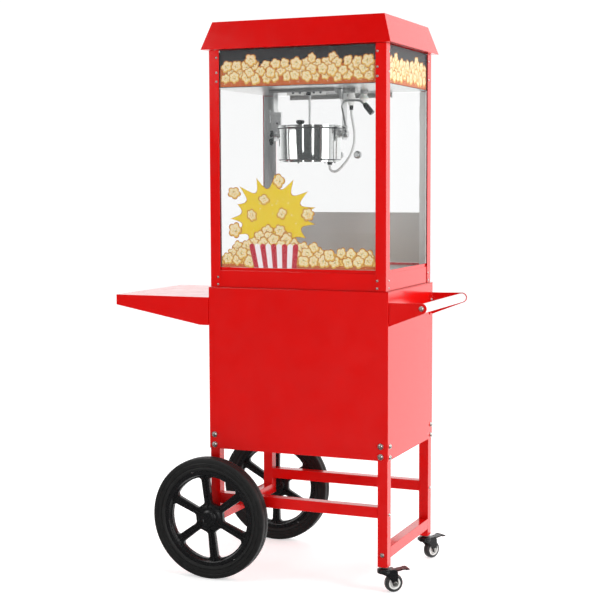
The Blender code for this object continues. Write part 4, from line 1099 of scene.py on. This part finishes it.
def front_scene():
    """A burst over a striped bucket of popcorn, with a drift of kernels along the bottom."""
    rng = random.Random(11)
    sheet = Print(front_print)
    low = 0.87
    left, right = CX - 0.2262, CX + 0.2262
    centre = (CX - 0.072, 1.008)
    sheet.star_shape(centre, spiky_outline(random.Random(5), centre, 0.0012), LEVELS + 3.4, PALE)
    sheet.star_shape(centre, spiky_outline(random.Random(5), centre, 0.002), LEVELS + 3.0, OUTLINE)
    sheet.star_shape(centre, spiky_outline(random.Random(5), centre, 0.0), LEVELS + 2.6, YELLOW)
    bucket_left, bucket_right = CX - 0.141, CX + 0.005
    rim, foot = 0.932, low

    def drift(a):
        """Height of the heap of kernels at a place along the pane."""
        at = a - CX
        if at < -0.068:
            return 0.925 + 0.026 * max(0.0, (at + 0.2262) / 0.158) + 0.006 * sin(60 * at)
        return 0.966 - 0.038 * min(1.0, (at + 0.068) / 0.16) + 0.005 * sin(75 * at)

    steps = [left + (right - left) * i / 60 for i in range(61)]
    sheet.shape([(a, drift(a) - 0.02) for a in steps] + [(right, low), (left, low)], LEVELS + 2.2, GOLD)
    sheet.shape([(left, low), (right, low), (right, low + 0.009), (left, low + 0.009)], LEVELS + 1.9, STRIP)
    size = 0.018
    for row in range(4):
        b = low + 0.0205 + 0.019 * row
        for a in along_row(rng, left, right, size, 0.034, row):
            grown = size * rng.uniform(0.88, 1.12)
            a = min(max(a, left + grown * 1.1), right - grown * 1.1)
            lifted = b + rng.uniform(-0.004, 0.004)
            inside = bucket_left + 0.012 < a < bucket_right - 0.012 and lifted < rim - 0.01
            if lifted < drift(a) - 0.004 and not inside:
                sheet.kernel(rng, a, lifted, grown)
    for row in range(3):
        b = rim + 0.004 + 0.017 * row
        reach = 0.06 - 0.021 * row
        count = max(1, round(2 * reach / 0.03))
        for i in range(count + 1):
            a = (bucket_left + bucket_right) / 2 - reach + 2 * reach * i / count + rng.uniform(-0.003,
                                                                                               0.003)
            sheet.kernel(rng, a, b + rng.uniform(-0.003, 0.003), size * rng.uniform(0.9, 1.1))
    for da, b, grown in ((-0.096, 1.056, 0.0165), (-0.133, 1.013, 0.0175), (-0.043, 1.018, 0.0165),
                         (-0.186, 1.074, 0.019), (-0.184, 0.972, 0.021), (-0.052, 1.106, 0.019),
                         (0.033, 1.016, 0.0185)):
        sheet.kernel(rng, CX + da, b, grown)
    for i in range(14):
        a, b = centre[0] + rng.uniform(-0.075, 0.075), centre[1] + rng.uniform(-0.02, 0.06)
        sheet.star_shape((a, b), arc((a, b), rng.uniform(0.0012, 0.0022), 0, 324, 9), LEVELS + 2.45, CREAM)
    bands = 9
    for i in range(bands):
        shares = (i / bands, (i + 1) / bands)
        top0, top1 = (bucket_left + (bucket_right - bucket_left) * share for share in shares)
        foot0, foot1 = (bucket_left + 0.014 + (bucket_right - bucket_left - 0.02) * share for share in shares)
        crown = arc(((top0 + top1) / 2, rim - 0.004), (top1 - top0) / 2, 0, 180, 6)
        sheet.shape([(foot0, foot), (foot1, foot), *crown], 0.4, PALE if i % 2 else STRIPE)
    sheet.finish("front_decal")


# ---- floor and light ----------------------------------------------------------------------------
def stage():
    bm = bmesh.new()
    bmesh.ops.create_circle(bm, cap_ends=True, segments=96, radius=30.0)
    mesh = bpy.data.meshes.new("floor")
    bm.to_mesh(mesh)
    bm.free()
    paint = surface("floor_paint", (0.9, 0.9, 0.9), (0.88, 0.88, 0.88), (0.7, 0.8), scale=3.0,
                    Emission_Color=(1.0, 1.0, 1.0, 1.0), Emission_Strength=0.5)
    mesh.materials.append(paint)
    floor = bpy.data.objects.new("floor", mesh)
    floor.visible_glossy = False
    bpy.context.scene.collection.objects.link(floor)


def softbox(name, place, target, width, height, power):
    lamp_data = bpy.data.lights.new(name, "AREA")
    lamp_data.shape = "RECTANGLE"
    lamp_data.size, lamp_data.size_y = width, height
    lamp_data.energy = power
    obj = bpy.data.objects.new(name, lamp_data)
    obj.location = place
    obj.rotation_euler = (Vector(target) - Vector(place)).to_track_quat("-Z", "Y").to_euler()
    bpy.context.scene.collection.objects.link(obj)


def studio():
    """A bright surround behind the cart and a dark one in front, with softboxes at the front."""
    world = bpy.data.worlds.new("studio")
    bpy.context.scene.world = world
    world.use_nodes = True
    tree = world.node_tree
    link = tree.links.new
    background = tree.nodes["Background"]
    place = add_node(tree, "ShaderNodeTexCoord")
    split = add_node(tree, "ShaderNodeSeparateXYZ")
    link(place.outputs["Generated"], split.inputs["Vector"])
    dark, bright = 0.06, 1.25
    depth = ranged(tree, split.outputs["Y"], -0.3, 0.6, dark, bright, interpolation_type="SMOOTHSTEP")
    seen = add_node(tree, "ShaderNodeLightPath")
    pick = add_node(tree, "ShaderNodeMix", data_type="FLOAT")
    link(seen.outputs["Is Camera Ray"], pick.inputs[0])
    link(depth, pick.inputs[2])
    seen_strength = 1.05
    pick.inputs[3].default_value = seen_strength
    link(pick.outputs[0], background.inputs["Strength"])
    background.inputs["Color"].default_value = (1.0, 1.0, 1.0, 1.0)
    target = (0.05, 0.0, 0.8)
    softbox("key_softbox", (-2.5, -2.7, 2.5), target, 2.0, 2.2, 40)
    softbox("side_softbox", (3.4, -0.6, 1.9), target, 1.8, 2.4, 85)
    softbox("strip_softbox_left", (-0.15, -4.3, 1.1), (0.0, 0.0, 1.1), 0.3, 3.4, 14)
    softbox("strip_softbox_right", (2.3, -3.4, 1.3), (0.0, 0.0, 1.1), 0.45, 3.2, 16)
    softbox("top_softbox", (0.0, -0.2, 3.6), (0.0, 0.0, 0.0), 2.5, 2.5, 26)
    bpy.context.scene.view_settings.view_transform = "Standard"


def main():
    add_camera()
    plug = plug_and_socket()
    kettle_lead()
    dress_frame()
    for end, sy in (("front", -1), ("rear", 1)):
        big_wheel(end, sy)
        caster(end)
    axle()
    fasteners()
    handle()
    kettle_body()
    kettle_lids()
    stirrer_and_drive()
    dump_handle()
    chamber()
    rear_fittings()
    front_half = 0.2262
    header("front_header", front_print, front_half, CX, 3)
    side_half = 0.162
    header("left_header", side_print("left"), side_half, 0.0, 8)
    header("right_header", side_print("right"), side_half, 0.0, 5)
    front_scene()
    stage()
    studio()


main()
